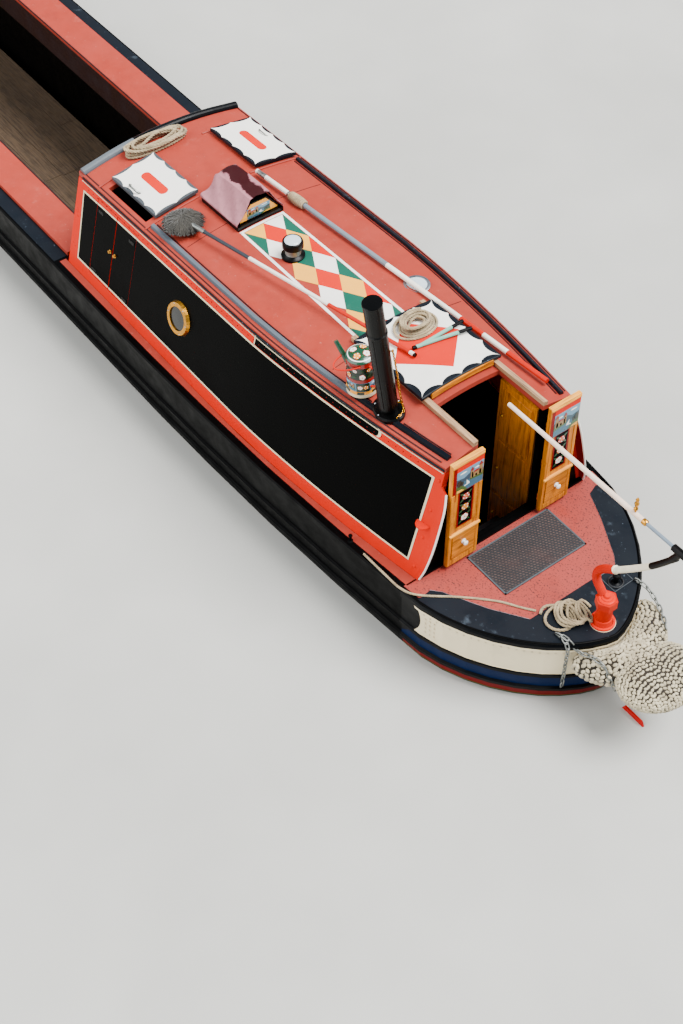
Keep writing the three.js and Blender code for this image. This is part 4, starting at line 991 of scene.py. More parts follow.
def coil_plan(name, thick, turns, spread, stray, first, last):
    """A coil's points seen from above, turn by turn from the first to the last."""
    rng = random.Random(name)
    strays = [[rng.uniform(-stray, stray) * much for much in STRAYS] for _ in range(12)]
    layers = max(2, int(spread / thick) + 1)
    plan = []
    for k in range(int(turns * POINTS_A_TURN) + 1):
        turn = k / POINTS_A_TURN
        moved = [a + (b - a) * (turn % 1) for a, b in zip(strays[int(turn)], strays[int(turn) + 1])]
        f, y, long, wide, turned = (a + (b - a) * turn / turns + c for a, b, c in zip(first, last, moved))
        level = turn / layers % 2
        inward = spread * (level if level < 1 else 2 - level) + stray / 2
        angle = START_ANGLE - 2 * pi * turn
        u, v = (long - inward) * cos(angle), (wide - inward) * sin(angle)
        c, s = cos(turned), sin(turned)
        plan.append((at(f) + u * c - v * s, y + u * s + v * c))
    return plan


def corded(name, path, diameter, body, far_end, lay="loose"):
    """A laid rope in a node's place, declared as a cord."""
    piece, even, length = laid_rope(f"{name}_rope", path, diameter, body)
    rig.replaces(piece, name)
    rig.slot(piece, "rope")
    kind = {"far_end": far_end, "stiffness": "limp", "lay": lay}
    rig.cord(piece, exit=even[0], length=length, diameter=diameter, path=even, **kind)


def ropes():
    """The three coils and the stern line."""
    grounds = {
        "front_coil": lambda x, y: roof_z(x - BULKHEAD, y) + 0.002,
        "rear_coil": lambda x, y: slide_top(x - BULKHEAD, y, 0.002).z,
        "stern_coil": lambda x, y: DECK + 0.005,
    }
    for name, body, thick, *shape in COILS:
        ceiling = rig.box(name)[1].z - thick / 2
        path = settled(coil_plan(name, thick, *shape), thick, grounds[name], ceiling)
        corded(name, path, thick, body, "bare", "coiled")
    route = smooth_path([deck_surface(*point) for point in LINE_ROUTE], 8)
    corded("stern_line", route, LINE_DIAMETER, "boat", "knot")


def slide_top(forward, y, up):
    """The upper face of the rear slide."""
    aft = SLIDE_TOP["aft"]
    return Vector((at(forward), y, roof_z(aft, y) + ROOF_SLOPE * (forward - aft) + SLIDE_TOP["up"] + up))


ropes()


# Coats of paint: each row is a look, its level above the coat below, and outlines with their holes
def painted(name, surface, layers, body="boat", base=LOW, step=0.2, clip=None):
    piles = {}
    for look, level, shapes in layers:
        if clip:
            shapes = [[part] for part in (clipped(shape[0], *clip) for shape in shapes) if part]
        if shapes:
            low = base + level * LEVEL
            piles.setdefault(look, Pile()).plates(shapes, surface, low, low + HIGH - LOW, step)
    for look, pile in piles.items():
        pile.piece(f"{name}_{look}", look, body)


# Finishes of the frame's own nodes
FINISHES = {
    "hull_black": ["hull_shell", "fore_stud", "rear_bulkhead"],
    "counter_bands": ["counter"],
    "tread_base": ["counter_tread_plate"],
    "salmon": [
        *("side_deck_port", "side_deck_stbd", "hold_beam_1", "hold_beam_2"),
        *("fore_deck", "fore_hatch", "cabin_roof"),
    ],
    "planks": ["hold_floor", "cabin_sole"],
    "orange_red": [
        *("cabin_side_port", "cabin_side_stbd", "side_step_port", "side_step_stbd", "rudder_collar"),
        *("engine_door_port_aft", "engine_door_port_fore", "engine_door_stbd_aft", "engine_door_stbd_fore"),
    ],
    "brass": ["porthole_port", "porthole_stbd", "tiller_pin", "propeller"],
    "stove_black": ["chimney", "mushroom_vent"],
    "slate": ["engine_slide_stbd", "rear_slide", "handrail_stbd"],
    "slate_worn": ["engine_slide_port"],
    "maroon": ["front_bulkhead", "coaming_port", "coaming_stbd"],
    "grained": ["rear_door_port", "rear_door_stbd", "cabin_step", "cabin_cupboard"],
    "engine_green": ["engine_block"],
    "worn_wood": ["hatch_runner_port", "hatch_runner_stbd"],
    "can_green": ["water_can"],
    # The fenders' bodies: dark brown as painted shade in the gaps between the knobs
    "fender_gap_shade": ["stern_fender", "bow_fender"],
}
RED, WHITE, BLACK = "cc3409", "f4efe4", "08090b"
AFT = slope_rule((-1, 0, 0), (BULKHEAD, 0, 0))
STARBOARD = slope_rule((0, -1, 0), (0, 0, 0))
UP_THE_NECK = slope_rule((-0.265, 0, 0.311), (at(-1.067), 0, DECK + 0.582))
START = -9  # less than every measure
# Columns: node, the way that the bands follow, where each starts and its colour
BANDS = [
    ("swan_neck", UP_THE_NECK, [(START, RED), (0.0, "efe6d2"), (0.409, BLACK)]),
    ("tiller_bar", AFT, [(START, "f0dccc"), (1.222, "8f9aa4"), (1.47, BLACK)]),
    ("rudder", AFT, [(START, "0a0c0f"), (1.33, "c3161c")]),
    ("boat_shaft", AFT, [
        *((START, WHITE), (-2.92, "8f979d"), (-1.811, WHITE)),
        *((-1.03, RED), (-0.8, WHITE), (-0.56, RED)),
    ]),
    ("mop", AFT, [
        *((START, "4c4a47"), (-3.03, "50565c"), (-2.464, WHITE)),
        *((-1.667, RED), (-0.9, WHITE), (-0.865, BLACK)),
    ]),
    ("slide_poles", STARBOARD, [(START, "10151b"), (-0.085, "93c4b4"), (0.235, "10151b")]),
    # handrail_port: its grey fore part is a painted reflection of the sky on the blue-black paint
    ("handrail_port", AFT, [(START, "757c83"), (-0.95, "18222d")]),
    ("roof_cap_beam", STARBOARD, [(START, "7b8186"), (-0.25, "10161d")]),
]


def finish_nodes():
    """Gives each node of the frame its look."""
    for look, names in FINISHES.items():
        for name in names:
            dress(frame["nodes"][name].data, look, 30)
    for name, rule, bands in BANDS:
        banded(f"{name}_bands", rule, bands)
        dress(frame["nodes"][name].data, f"{name}_bands", 30)


def oval(u, v, half_u, half_v):
    return disc(u, v, half_u, 20, half_v)


def polygon(*points):
    return points


# Painted decoration in the boats' own tradition: a castle scene and roses.
# Columns: look, level, kind of outline, its numbers as shares of the picture
CASTLE = [
    ("sky", 1, box_outline, (0, 0, 1, 1)),
    ("white", 2, oval, (0.24, 0.86, 0.13, 0.035)),
    ("white", 2, oval, (0.78, 0.8, 0.11, 0.03)),
    ("hill_blue", 2, polygon, [
        (0, 0.4), (1, 0.4), (1, 0.62), (0.86, 0.7), (0.7, 0.6), (0.5, 0.72), (0.28, 0.6), (0, 0.66)]),
    ("lake", 3, box_outline, (0, 0, 1, 0.42)),
    ("field_green", 4, polygon, [(0, 0), (0.42, 0), (0.34, 0.16), (0.2, 0.3), (0, 0.36)]),
    ("field_green", 4, polygon, [(0.5, 0.36), (1, 0.28), (1, 0.5), (0.5, 0.46)]),
    ("stone", 5, polygon, [(0.56, 0.42), (0.92, 0.4), (0.92, 0.62), (0.56, 0.62)]),
    ("stone", 5, box_outline, (0.52, 0.42, 0.62, 0.76)),
    ("stone", 5, box_outline, (0.84, 0.4, 0.96, 0.82)),
    ("castle_red", 6, polygon, [(0.49, 0.76), (0.65, 0.76), (0.57, 0.92)]),
    ("castle_red", 6, polygon, [(0.81, 0.82), (0.99, 0.82), (0.9, 0.98)]),
    ("castle_red", 6, polygon, [(0.62, 0.62), (0.84, 0.62), (0.8, 0.7), (0.66, 0.7)]),
    ("gloss_black", 7, box_outline, (0.7, 0.42, 0.76, 0.52)),
    ("gloss_black", 7, box_outline, (0.56, 0.62, 0.59, 0.69)),
    ("white", 5, polygon, [(0.3, 0.2), (0.5, 0.24), (0.49, 0.27), (0.3, 0.23)]),
    ("white", 5, box_outline, (0.38, 0.25, 0.39, 0.46)),
    ("white", 6, polygon, [(0.395, 0.27), (0.49, 0.29), (0.395, 0.44)]),
    ("dark_green", 6, oval, (0.1, 0.44, 0.085, 0.15)),
    ("dark_green", 6, oval, (0.21, 0.38, 0.06, 0.1)),
    ("diamond_yellow", 5, polygon, [(0.02, 0.02), (0.3, 0.04), (0.2, 0.12), (0.02, 0.14)]),
]


def castle(u0, v0, u1, v1, flip=False):
    """The castle scene's layers, laid into a box, or mirrored in it."""
    layers = []
    for look, level, kind, numbers in CASTLE:
        shares = [(1 - u if flip else u, v) for u, v in kind(*numbers)]
        layers.append((look, level, [[[(u0 + (u1 - u0) * u, v0 + (v1 - v0) * v) for u, v in shares]]]))
    return layers


def round_at(u, v, reach, angle, size):
    """A small disc at a distance and an angle from a point."""
    return disc(u + reach * cos(angle), v + reach * sin(angle), size, 10)


def rose(u, v, radius, main, dark, turn=0.0):
    """One rose: a dark round, five petals, a light fold in each, and a yellow heart."""
    petals = [[round_at(u, v, 0.56 * radius, a + turn, 0.4 * radius)] for a in angles(5)]
    folds = [[round_at(u, v, 0.72 * radius, a + turn + 0.3, 0.16 * radius)] for a in angles(5)]
    ground, heart = [[disc(u, v, radius, 20)]], [[disc(u, v, 0.24 * radius, 10)]]
    return [(dark, 3, ground), (main, 4, petals), ("white", 6, folds), ("yellow", 6, heart)]


def leaf(u, v, long, wide, angle):
    """One pointed leaf about a point."""
    c, s = cos(angle), sin(angle)
    points = [(-1, 0), (-0.4, 0.8), (0.3, 0.7), (1, 0), (0.3, -0.7), (-0.4, -0.8)]
    return [[(u + long * a * c - wide * b * s, v + long * a * s + wide * b * c) for a, b in points]]


ROSES = [("white", "pink"), ("yellow", "castle_red"), ("pink", "deep_red")]


def posy(u, v, radius, count, pitch, across=False):
    """A column or row of roses with leaves between them."""
    out = []
    for k in range(count):
        shift = (k - (count - 1) / 2) * radius * pitch
        ru, rv = (u + shift, v) if across else (u, v + shift)
        reach = 0.95 * radius
        leaves = [
            leaf(ru + reach * cos(a), rv + reach * sin(a), radius * 0.62, radius * 0.26, a)
            for a in (0.7, 2.4, 3.9, 5.5)
        ]
        out.append(("leaf_green", 2, leaves))
        out += rose(ru, rv, radius * 0.72, *ROSES[k % 3], turn=0.4 * k)
    return out


# Cabin sides: the big panel, the strip above it, the engine doors' leaves, the aft edge and the porthole
PANEL = {"aft": 0.109, "fore": 4.24, "foot": 0.107, "line": 0.014, "drop": 0.12, "fore_top": 4.27}
STRIP = {"from": 0.62, "to": 1.9, "low": 0.114, "high": 0.04, "edge": 0.012}
LEAVES = (("aft", 3.48, 3.76), ("fore", 3.77, 4.05))
LEAF_FOOT, LEAF_HEAD, LEAF_CLEAR = 0.095, 0.745, 0.006
WING = [(-0.03, 0.785), (-0.056, 0.64), (-0.06, 0.33), (-0.04, 0.12), (-0.012, 0.012)]
# A leaf's strap hinges: heights, place in from the leaf's edge, length, half width, thickness; then screws
HINGE = {"ups": (0.14, 0.655), "in": 0.022, "long": 0.07, "half": 0.012, "thick": 0.0032}
HINGE_SCREWS = (0.025, 0.055)
LEAF_PULL = [(0.016, 0.0), (0.016, 0.003), (0.006, 0.005), (0.006, 0.014), (0.012, 0.018), (0.0, 0.022)]
PULL_AT = (0.03, 0.42)  # in from the leaf's edge, and up
SIDE_BOLTS = (0.852, 0.598, 0.354, 0.09)
RIVET_FORE, RIVET_PITCH, RIVET_DROP = 4.2, 0.067, 0.088
PORTHOLE_GLASS = [(0.096, 0.0), (0.096, 0.003), (0.0, 0.005)]
PORTHOLE = (2.8, 0.44)


def panel_outline(inset):
    """The big panel's outline, drawn in from its outer edge."""
    foot, drop = PANEL["foot"] + inset, PANEL["drop"] + inset
    stations = steps(PANEL["fore_top"] - inset, PANEL["aft"] + inset, 16)
    stations[-1] = 0.089 + inset * 1.4
    head = [(f, cabin_height(f) - drop) for f in stations]
    return [(PANEL["aft"] + inset, foot), (PANEL["fore"] - inset, foot)] + head


def strip_outline(grow):
    """The narrow strip above the panel, with its round aft end."""
    low, high, start, end = STRIP["low"], STRIP["high"], STRIP["from"] - grow, STRIP["to"] + grow
    lengths = (0.68, 0.9, 1.2, 1.6)
    out = [(end, cabin_height(end) - low), (end, cabin_height(end) - high)]
    out += [(f, cabin_height(f) - high) for f in lengths[::-1]]
    middle, half = cabin_height(start) - 0.5 * (low + high), 0.5 * (low - high)
    for a in steps(radians(60), radians(-60), 6):
        out.append((start + 0.02 - (0.03 + grow) * cos(a), middle + half * sin(a)))
    return out + [(f, cabin_height(f) - low) for f in lengths]


def side_layers():
    """The big panel and the strip above it, each in black with a cream line round it."""
    outer, inner = panel_outline(0.0), panel_outline(PANEL["line"])
    lines = []
    for k in range(len(outer)):
        j = (k + 1) % len(outer)
        lines.append([[outer[k], outer[j], inner[j], inner[k]]])
    return [
        ("gloss_black", 0, [[inner]]),
        ("cream", 1, lines),
        ("cream", 0, [[strip_outline(STRIP["edge"])]]),
        ("gloss_black", 1, [[strip_outline(0.0)]]),
    ]


def cabin_sides():
    """Paint on the sides and the engine doors, with the doors' fittings and the sides' trim."""
    layers = side_layers()
    first, last = LEAVES[0][1] - LEAF_CLEAR, LEAVES[1][2] + LEAF_CLEAR
    around = [
        (-1, -1, first, 2),
        (last, -1, 9, 2),
        (first, -1, last, LEAF_FOOT - LEAF_CLEAR),
        (first, LEAF_HEAD + LEAF_CLEAR, last, 2),
    ]
    for name, sign in SIDES:
        surface = cabin_surface(sign)
        for k, clip in enumerate(around):
            painted(f"side_paint_{name}_{k}", surface, layers, clip=clip)
        for end, low, high in LEAVES:
            body, clip = f"engine_door_{name}_{end}", (low, LEAF_FOOT, high, LEAF_HEAD)
            painted(f"leaf_paint_{name}_{end}", surface, layers, body, -LEVEL, clip=clip)
            leaf_fittings(name, end, low, high, surface)
        side_trim(name, surface)
        wing(name, sign)


def leaf_fittings(name, end, low, high, surface):
    """Strap hinges on a leaf's outer upright, and a pull where the leaves meet."""
    body = f"engine_door_{name}_{end}"
    edge, inward, pull = (low, 1, high - PULL_AT[0]) if end == "aft" else (high, -1, low + PULL_AT[0])
    hinge = Pile()
    for up in HINGE["ups"]:
        place = on_surface(surface, edge + inward * HINGE["in"], up)
        near, far = sorted((0.0, inward * HINGE["long"]))
        hinge.block((near, -HINGE["half"], -0.001), (far, HINGE["half"], HINGE["thick"]), place)
        hinge.tube([place @ Vector((0, t, 0.002)) for t in (-0.018, 0.018)], 0.0038)
        screws = [Matrix.Translation((inward * along, 0, HINGE["thick"])) for along in HINGE_SCREWS]
        hinge.heads([place @ screw for screw in screws], 0.005, 0.003)
    hinge.piece(f"hinges_{name}_{end}", "stove_black", body)
    place = on_surface(surface, pull, PULL_AT[1])
    Pile().turned(LEAF_PULL, place, 16).piece(f"pull_{name}_{end}", "brass", body)


def side_trim(name, surface):
    """Bolts and rivets, a dark bead and a pale line along the head, and the porthole's glass and screws."""
    bolts = [on_surface(surface, 0.05, up) for up in SIDE_BOLTS]
    Pile().heads(bolts, 0.012, 0.009, 12).piece(f"side_bolts_{name}", "orange_red")
    stations = [RIVET_FORE - RIVET_PITCH * k for k in range(60)]
    rivets = [on_surface(surface, f, cabin_height(f) - RIVET_DROP) for f in stations]
    Pile().heads(rivets, 0.005, 0.003).piece(f"side_rivets_{name}", "deep_red")
    stations = steps(0.03, 4.3, 40)
    for look, drop, radius in (("slate", 0.03, 0.009), ("cream", 0.052, 0.004)):
        bead = Pile().tube([surface(f, cabin_height(f) - drop, 0.003) for f in stations], radius)
        bead.piece(f"edge_bead_{name}_{look}", look)
    glass = Pile().turned(PORTHOLE_GLASS, on_surface(surface, *PORTHOLE, 0.013))
    glass.piece(f"porthole_glass_{name}", "dark_glass")
    screws = [on_surface(surface, f, up, 0.0255) for f, up in disc(*PORTHOLE, 0.118, 6)]
    Pile().heads(screws, 0.006, 0.004).piece(f"porthole_screws_{name}", "steel")


def wing(name, sign):
    """The cabin side's aft end: a white line along its edge, and its inner face in deep red, a painted shade of the
    side's orange-red.
    """
    edge = [deck_surface(f - 0.001, sign * (side_y(0, up) - 0.006), up) for f, up in WING]
    Pile().tube(smooth_path(edge, 6), 0.0075).piece(f"wing_line_{name}", "white")
    # The inner face: the side's orange-red made darker as painted shade
    ring = [(f + 0.004, up) for f, up in WING] + [(0.016, 0.012), (0.016, 0.785)]
    face = lambda f, up, out: deck_surface(f, sign * (side_y(0, up) - 0.0125 - out), up)
    Pile().plates([[ring]], face, 0.0002, 0.0012, 0.1).piece(f"wing_inside_shade_{name}", "deep_red")


# Deck: the inner edge of the counter's dark margins, forward and y
MARGIN_INNER = [
    (-0.106, -0.803),
    (-0.141, -0.715),
    (-0.359, -0.621),
    (-0.667, -0.459),
    (-0.73, -0.41),
    (-0.73, 0.376),
    (-0.493, 0.541),
    (-0.189, 0.703),
    (-0.126, 0.759),
    (-0.14, 0.84),
]
BY_CABIN, BY_HOLD = (0.0, 4.4), (4.43, 20.3)  # ends of the strips of paint on the gunwales
COAMING_FOOT = 0.946
MARGIN_END = -0.13
PAINT_CORNERS = [(0.012, 0.88), (MARGIN_END, 0.862)]
SILL = ((-0.012, -0.755, 0.001), (0.02, 0.755, 0.022))
STUD = (-0.85, -0.3)
STUD_PLATE = (-0.908, -0.412, -0.745, -0.24)


def counter_edge(inset=0.0):
    """The counter's rounded edge from starboard round to port, drawn in by a little."""
    stations = [-COUNTER_LENGTH * sin(a) for a in steps(0, pi / 2, 40)]
    port = [(f, counter_half(f)) for f in stations]
    edge = port[:-1] + mirrored(port[::-1])
    out = []
    for k, (f, y) in enumerate(edge):
        before, after = edge[max(0, k - 1)], edge[min(len(edge) - 1, k + 1)]
        along = (Vector(after) - Vector(before)).normalized()
        out.append((f - along.y * inset, y + along.x * inset))
    return out


def gunwale_strip(start, end, inner, outer, count):
    """A strip along both gunwales between an inner and an outer line."""
    stations = steps(start, end, count)
    return both_sides([(f, outer(f)) for f in stations] + [(f, inner(f)) for f in reversed(stations)])


def deck_paint():
    """Paint on the gunwales and the counter, the counter's dark margins, its rim and the bulkhead's foot."""
    gunwale = lambda f, y, up: Vector((at(f), y, rim_height(f) + up))
    by_cabin = gunwale_strip(*BY_CABIN, lambda f: cabin_foot(f) + 0.002, lambda f: breadth(f) - 0.045, 40)
    by_hold = gunwale_strip(
        *BY_HOLD, lambda f: min(COAMING_FOOT, breadth(f) - 0.04), lambda f: breadth(f) - 0.008, 100
    )
    painted("gunwale_paint", gunwale, [("salmon", 0, by_cabin), ("slate", 0, by_hold)], step=0.4)
    salmon = PAINT_CORNERS + MARGIN_INNER[::-1] + mirrored(PAINT_CORNERS[::-1])
    painted("counter_paint", deck_surface, [("salmon_deck", 0, [[salmon]])], step=0.3)
    edge = [(f, y) for f, y in counter_edge(0.016) if f < MARGIN_END]
    margins = Pile().plates([[edge + MARGIN_INNER]], deck_surface, 0.0012, 0.0034, 0.3)
    margins.piece("counter_margins", "slate")
    worn = Pile()
    for line in (MARGIN_INNER[1:5], MARGIN_INNER[5:9]):
        worn.tube([deck_surface(f, y, 0.0028) for f, y in line], 0.0016, 6)
    worn.piece("margin_edges", "steel")
    rim = Pile().tube([deck_surface(f, y, 0.001) for f, y in counter_edge(0.006)], 0.008)
    rim.piece("counter_rim", "hull_black")
    counter_rivets()
    tread()
    Pile().block(*(deck_surface(*corner) for corner in SILL)).piece("bulkhead_foot", "hull_black")
    stud_fittings()


def stud_fittings():
    """The plate under the counter's stud, its worn rim, and the collar round the stud's foot."""
    f0, y0, f1, y1 = STUD_PLATE
    plate = Pile().block(deck_surface(f0, y0, 0.003), deck_surface(f1, y1, 0.0075))
    plate.piece("stud_plate", "slate")
    rim = [deck_surface(f, y, 0.0075) for f, y in box_outline(*STUD_PLATE)]
    Pile().tube(rim, 0.0045, closed=True).piece("stud_plate_rim", "slate_worn")
    ring = [deck_surface(f, y, 0.0145) for f, y in disc(*STUD, 0.052, 24)]
    Pile().tube(ring, 0.0065, closed=True).piece("stud_ring", "cast_iron")


def counter_rivets():
    """Rivet heads along the top of the cream band and in three rows at its fore ends."""
    line, _ = even_path([deck_surface(f, y, -0.098) for f, y in counter_edge()], 60)
    on_band, at_ends = [], []
    for before, here, after in zip(line, line[1:], line[2:]):
        if here.x < at(-0.2):
            out = (after - before).normalized().cross(UP)
            out = out if out.x < 0 or out.y * here.y > 0 else -out
            on_band.append(Matrix.Translation(here) @ out.to_track_quat("Z", "Y").to_matrix().to_4x4())
    for (_, sign), column, row in product(SIDES, range(3), range(4)):
        f = -0.225 - 0.036 * column
        spot = deck_surface(f, sign * (counter_half(f) + 0.0005), -0.135 - 0.048 * row)
        at_ends.append(Matrix.Translation(spot) @ Matrix.Rotation(-sign * pi / 2, 4, "X"))
    Pile().heads(on_band, 0.008, 0.004).heads(at_ends, 0.009, 0.005).piece("counter_rivets", "cream")


# The tread plate's ends, half width, top and frame, then its bars: spacing, margins, turn and half sizes
TREAD = {"fore": -0.06, "aft": -0.475, "half": 0.375, "top": 0.0078, "edge": 0.012}
BARS = {"along": 0.0195, "across": 0.0262, "fore": 0.022, "port": -0.352, "side": 0.018, "turn": -0.64}
BAR_HALF, BAR_HIGH = (0.0045, 0.0112), 0.0028


def tread():
    """Worn bars in staggered rows on the tread plate, and its frame."""
    fore, aft, half, top, wide = (TREAD[k] for k in ("fore", "aft", "half", "top", "edge"))
    foot = disc(0, 0, BAR_HALF[0], 6, BAR_HALF[1])
    ends = [[Vector((x, y, 0.0)) for x, y in foot], [Vector((x * 0.5, y * 0.6, BAR_HIGH)) for x, y in foot]]
    turn = Matrix.Rotation(BARS["turn"], 4, "Z")
    worn = Pile()
    for i, j in product(range(20), range(28)):
        f, y = fore - BARS["fore"] - BARS["along"] * i, BARS["port"] + BARS["across"] * (j - i % 2 / 2)
        if abs(y) < half - BARS["side"]:
            place = Matrix.Translation(deck_surface(f, y, top - 0.0004)) @ turn
            worn.rings([[place @ p for p in ring] for ring in ends])
    worn.piece("tread_studs", "tread_worn", smooth=False)
    edge = Pile()
    sides = [(aft, -half, aft + wide, half), (fore - wide, -half, fore, half)]
    sides += [(aft, -half, fore, wide - half), (aft, half - wide, fore, half)]
    for f0, y0, f1, y1 in sides:
        edge.block(deck_surface(f0, y0, top), deck_surface(f1, y1, top + 0.002))
    edge.piece("tread_frame", "slate_worn")


# Roof: the field of diamonds by its ends and the y of its port and starboard edges at each end
DIAMONDS = {"aft": 1.284, "fore": 2.795, "port": (0.262, 0.224), "stbd": (-0.125, -0.126), "long": 0.336}


def across_diamonds(f, share):
    """The y of a share of the way across the field of diamonds, from starboard."""
    t = (f - DIAMONDS["aft"]) / (DIAMONDS["fore"] - DIAMONDS["aft"])
    stbd, port = (DIAMONDS[k][0] + (DIAMONDS[k][1] - DIAMONDS[k][0]) * t for k in ("stbd", "port"))
    return stbd + (port - stbd) * share


def diamonds():
    """Rows of long diamonds in four colours, and the white border round them."""
    aft, fore, half = DIAMONDS["aft"], DIAMONDS["fore"], DIAMONDS["long"] / 2
    sets = {look: [] for look in ("diamond_yellow", "diamond_red", "diamond_green", "white")}
    for i, d in product(range(-1, 11), range(-2, 3)):
        if (i + d) % 2 == 0:
            f, share = aft + half * i, 0.5 + 0.25 * d
            shape = [(f - half, share), (f, share - 0.25), (f + half, share), (f, share + 0.25)]
            part = clipped(shape, aft, 0.0, fore, 1.0)
            if part:
                pair = ("white", "diamond_yellow") if i % 2 else ("diamond_red", "diamond_green")
                sets[pair[(i + d) // 2 % 2]].append([part])
    surface = lambda f, share, up: roof_surface(f, across_diamonds(f, share), up)
    painted("diamonds", surface, [(look, 0, shapes) for look, shapes in sets.items()], base=0.0008, step=0.12)
    edges = []
    for share, aside in ((1.0, 0.004), (0.0, -0.026)):
        near = [(f, across_diamonds(f, share) + aside) for f in steps(aft - 0.02, fore + 0.02, 20)]
        edges.append([near + [(f, y + 0.022) for f, y in reversed(near)]])
    for f in (aft - 0.028, fore + 0.006):
        stbd, port = across_diamonds(f, 0) - 0.026, across_diamonds(f, 1) + 0.026
        edges.append([box_outline(f, stbd, f + 0.022, port)])
    painted("diamond_border", roof_surface, [("white", 0, edges)], base=0.0008, step=0.06)


# The flush light's place, and its ring and lens by radius and height
LIGHT = (1.536, -0.42)
LIGHT_RING = [(0.1, 0.0008), (0.1, 0.006), (0.092, 0.01), (0.078, 0.01), (0.076, 0.004)]
LIGHT_LENS = [(0.0765, 0.001), (0.0765, 0.006), (0.05, 0.009), (0.0, 0.011)]
ROOF_SEAMS = (1.22, 2.98)
SLIDE_RIBS = (3.388, 4.067)


def roof_trim():
    """Beads along the roof's edges, ribs beside the slides, seams and the flush light."""
    beads, ribs, seams = Pile(), Pile(), Pile()
    for _, sign in SIDES:
        lines = [(0.012, 0.08, 4.28, 50), (0.094, 0.08, 3.36, 30)]
        if sign > 0:  # the chimney's foot stands on the port bead
            lines[1:] = [(0.094, 0.08, 0.5, 30), (0.094, 0.8, 3.36, 30)]
        for inset, start, end, count in lines:
            line = [roof_surface(f, sign * (cabin_top(f) - inset), 0.002) for f in steps(start, end, count)]
            beads.tube(line, 0.005, 6)
        for f in SLIDE_RIBS:
            ribs.tube([roof_surface(f, sign * y, 0.005) for y in steps(0.24, 0.735, 8)], 0.008, 6)
    for f in ROOF_SEAMS:
        reach = cabin_top(f) - 0.12
        seams.tube([roof_surface(f, y, 0.0) for y in steps(-reach, reach, 24)], 0.0022, 5)
    beads.piece("roof_beads", "maroon")
    ribs.piece("slide_ribs", "salmon")
    seams.piece("roof_seams", "maroon")
    place = on_surface(roof_surface, *LIGHT)
    Pile().turned(LIGHT_RING, place, 48).piece("roof_light_ring", "steel")
    Pile().turned(LIGHT_LENS, place).piece("roof_light_glass", "pale_glass")


# Slides: the engine room's ends, edges and height, and how far the port one stands open
SLIDE = {"from": 3.41, "to": 4.045, "inner": 0.305, "outer": 0.7, "top": 0.04, "open": 0.075}
SLIDE_BAR = {"aft": 3.565, "fore": 3.89, "half": 0.04, "corner": 0.039}
GRIP_AT = (3.78, 0.055)  # forward, and in from the outer edge
GRIPS = {"port": (0.068, 0.034, 0.0085), "stbd": (0.055, 0.02, 0.0055)}  # half length, rise, radius
# The rear slide's painted field and diamond, the board across its aft end, and the nosing over that
REAR_FIELD = (0.53, -0.348, 1.28, 0.348)
REAR_DIAMOND = [(0.62, 0.0), (0.905, -0.285), (1.19, 0.0), (0.905, 0.285)]
FASCIA = {"fore": 0.5315, "aft": 0.5135, "half": 0.27, "up": 0.066, "high": 0.042}
NOSING = {"forward": 0.532, "half": 0.346, "up": -0.006, "radius": 0.0085}


def slide_surface(sign):
    """The upper face of an engine room slide, a straight board on the curved roof."""
    middle = 0.5 * (SLIDE["inner"] + SLIDE["outer"])
    wide = SLIDE["outer"] - SLIDE["inner"]
    chord = (roof_z(SLIDE["to"], SLIDE["outer"]) - roof_z(SLIDE["to"], SLIDE["inner"])) / wide
    height = lambda f, y: roof_z(f, middle) + chord * (y - middle) + SLIDE["top"]
    return lambda f, y, up: Vector((at(f), sign * y, height(f, y) + up))


def slides():
    """Painted fields and grips on the engine room's slides, and the rear slide's field, fascia and nosing."""
    for name, sign in SIDES:
        body, surface = f"engine_slide_{name}", slide_surface(sign)
        shift = SLIDE["open"] if sign > 0 else 0.0
        near, far = SLIDE["inner"] - shift, SLIDE["outer"] - shift
        low, high = (0.5 * (near + far) + side * SLIDE_BAR["half"] for side in (-1, 1))
        field = scalloped(SLIDE["from"], near, SLIDE["to"], far, 4, 2, 0.022, 0.004)
        bar = rounded(SLIDE_BAR["aft"], low, SLIDE_BAR["fore"], high, SLIDE_BAR["corner"])
        layers = [("white", 0, [[field]]), ("diamond_red", 1, [[bar]])]
        painted(f"slide_paint_{name}", surface, layers, body)
        long, rise, radius = GRIPS[name]
        place = on_surface(surface, GRIP_AT[0], far - GRIP_AT[1])
        bow = [(long * cos(a), rise * sin(a)) for a in steps(0, pi, 12)]
        arch = Pile().tube([place @ Vector((x, lift, lift)) for x, lift in bow], radius)
        arch.piece(f"slide_grip_{name}", "galvanised", body)
    field = scalloped(*REAR_FIELD, 4, 4, 0.036, 0.006)
    layers = [("white", 0, [[field]]), ("diamond_red", 1, [[REAR_DIAMOND]])]
    painted("rear_slide_paint", slide_top, layers, "rear_slide", step=0.06)
    rings = []
    for y in steps(-FASCIA["half"], FASCIA["half"], 12):
        high = roof_z(SLIDE_TOP["aft"], y) + FASCIA["up"]
        outline = box_outline(FASCIA["fore"], high, FASCIA["aft"], high - FASCIA["high"])
        rings.append([(at(f), y, z) for f, z in outline])
    Pile().rings(rings).piece("slide_fascia", "grained_across", "rear_slide")
    line = [slide_top(NOSING["forward"], y, NOSING["up"]) for y in steps(-NOSING["half"], NOSING["half"], 16)]
    Pile().tube(line, NOSING["radius"]).piece("slide_nosing", "slate", "rear_slide")


# Fittings on the roof
CHIMNEY = {"forward": 0.655, "y": 0.522, "radius": 0.067, "high": 1.08, "lean": 0.15, "sunk": 0.01}
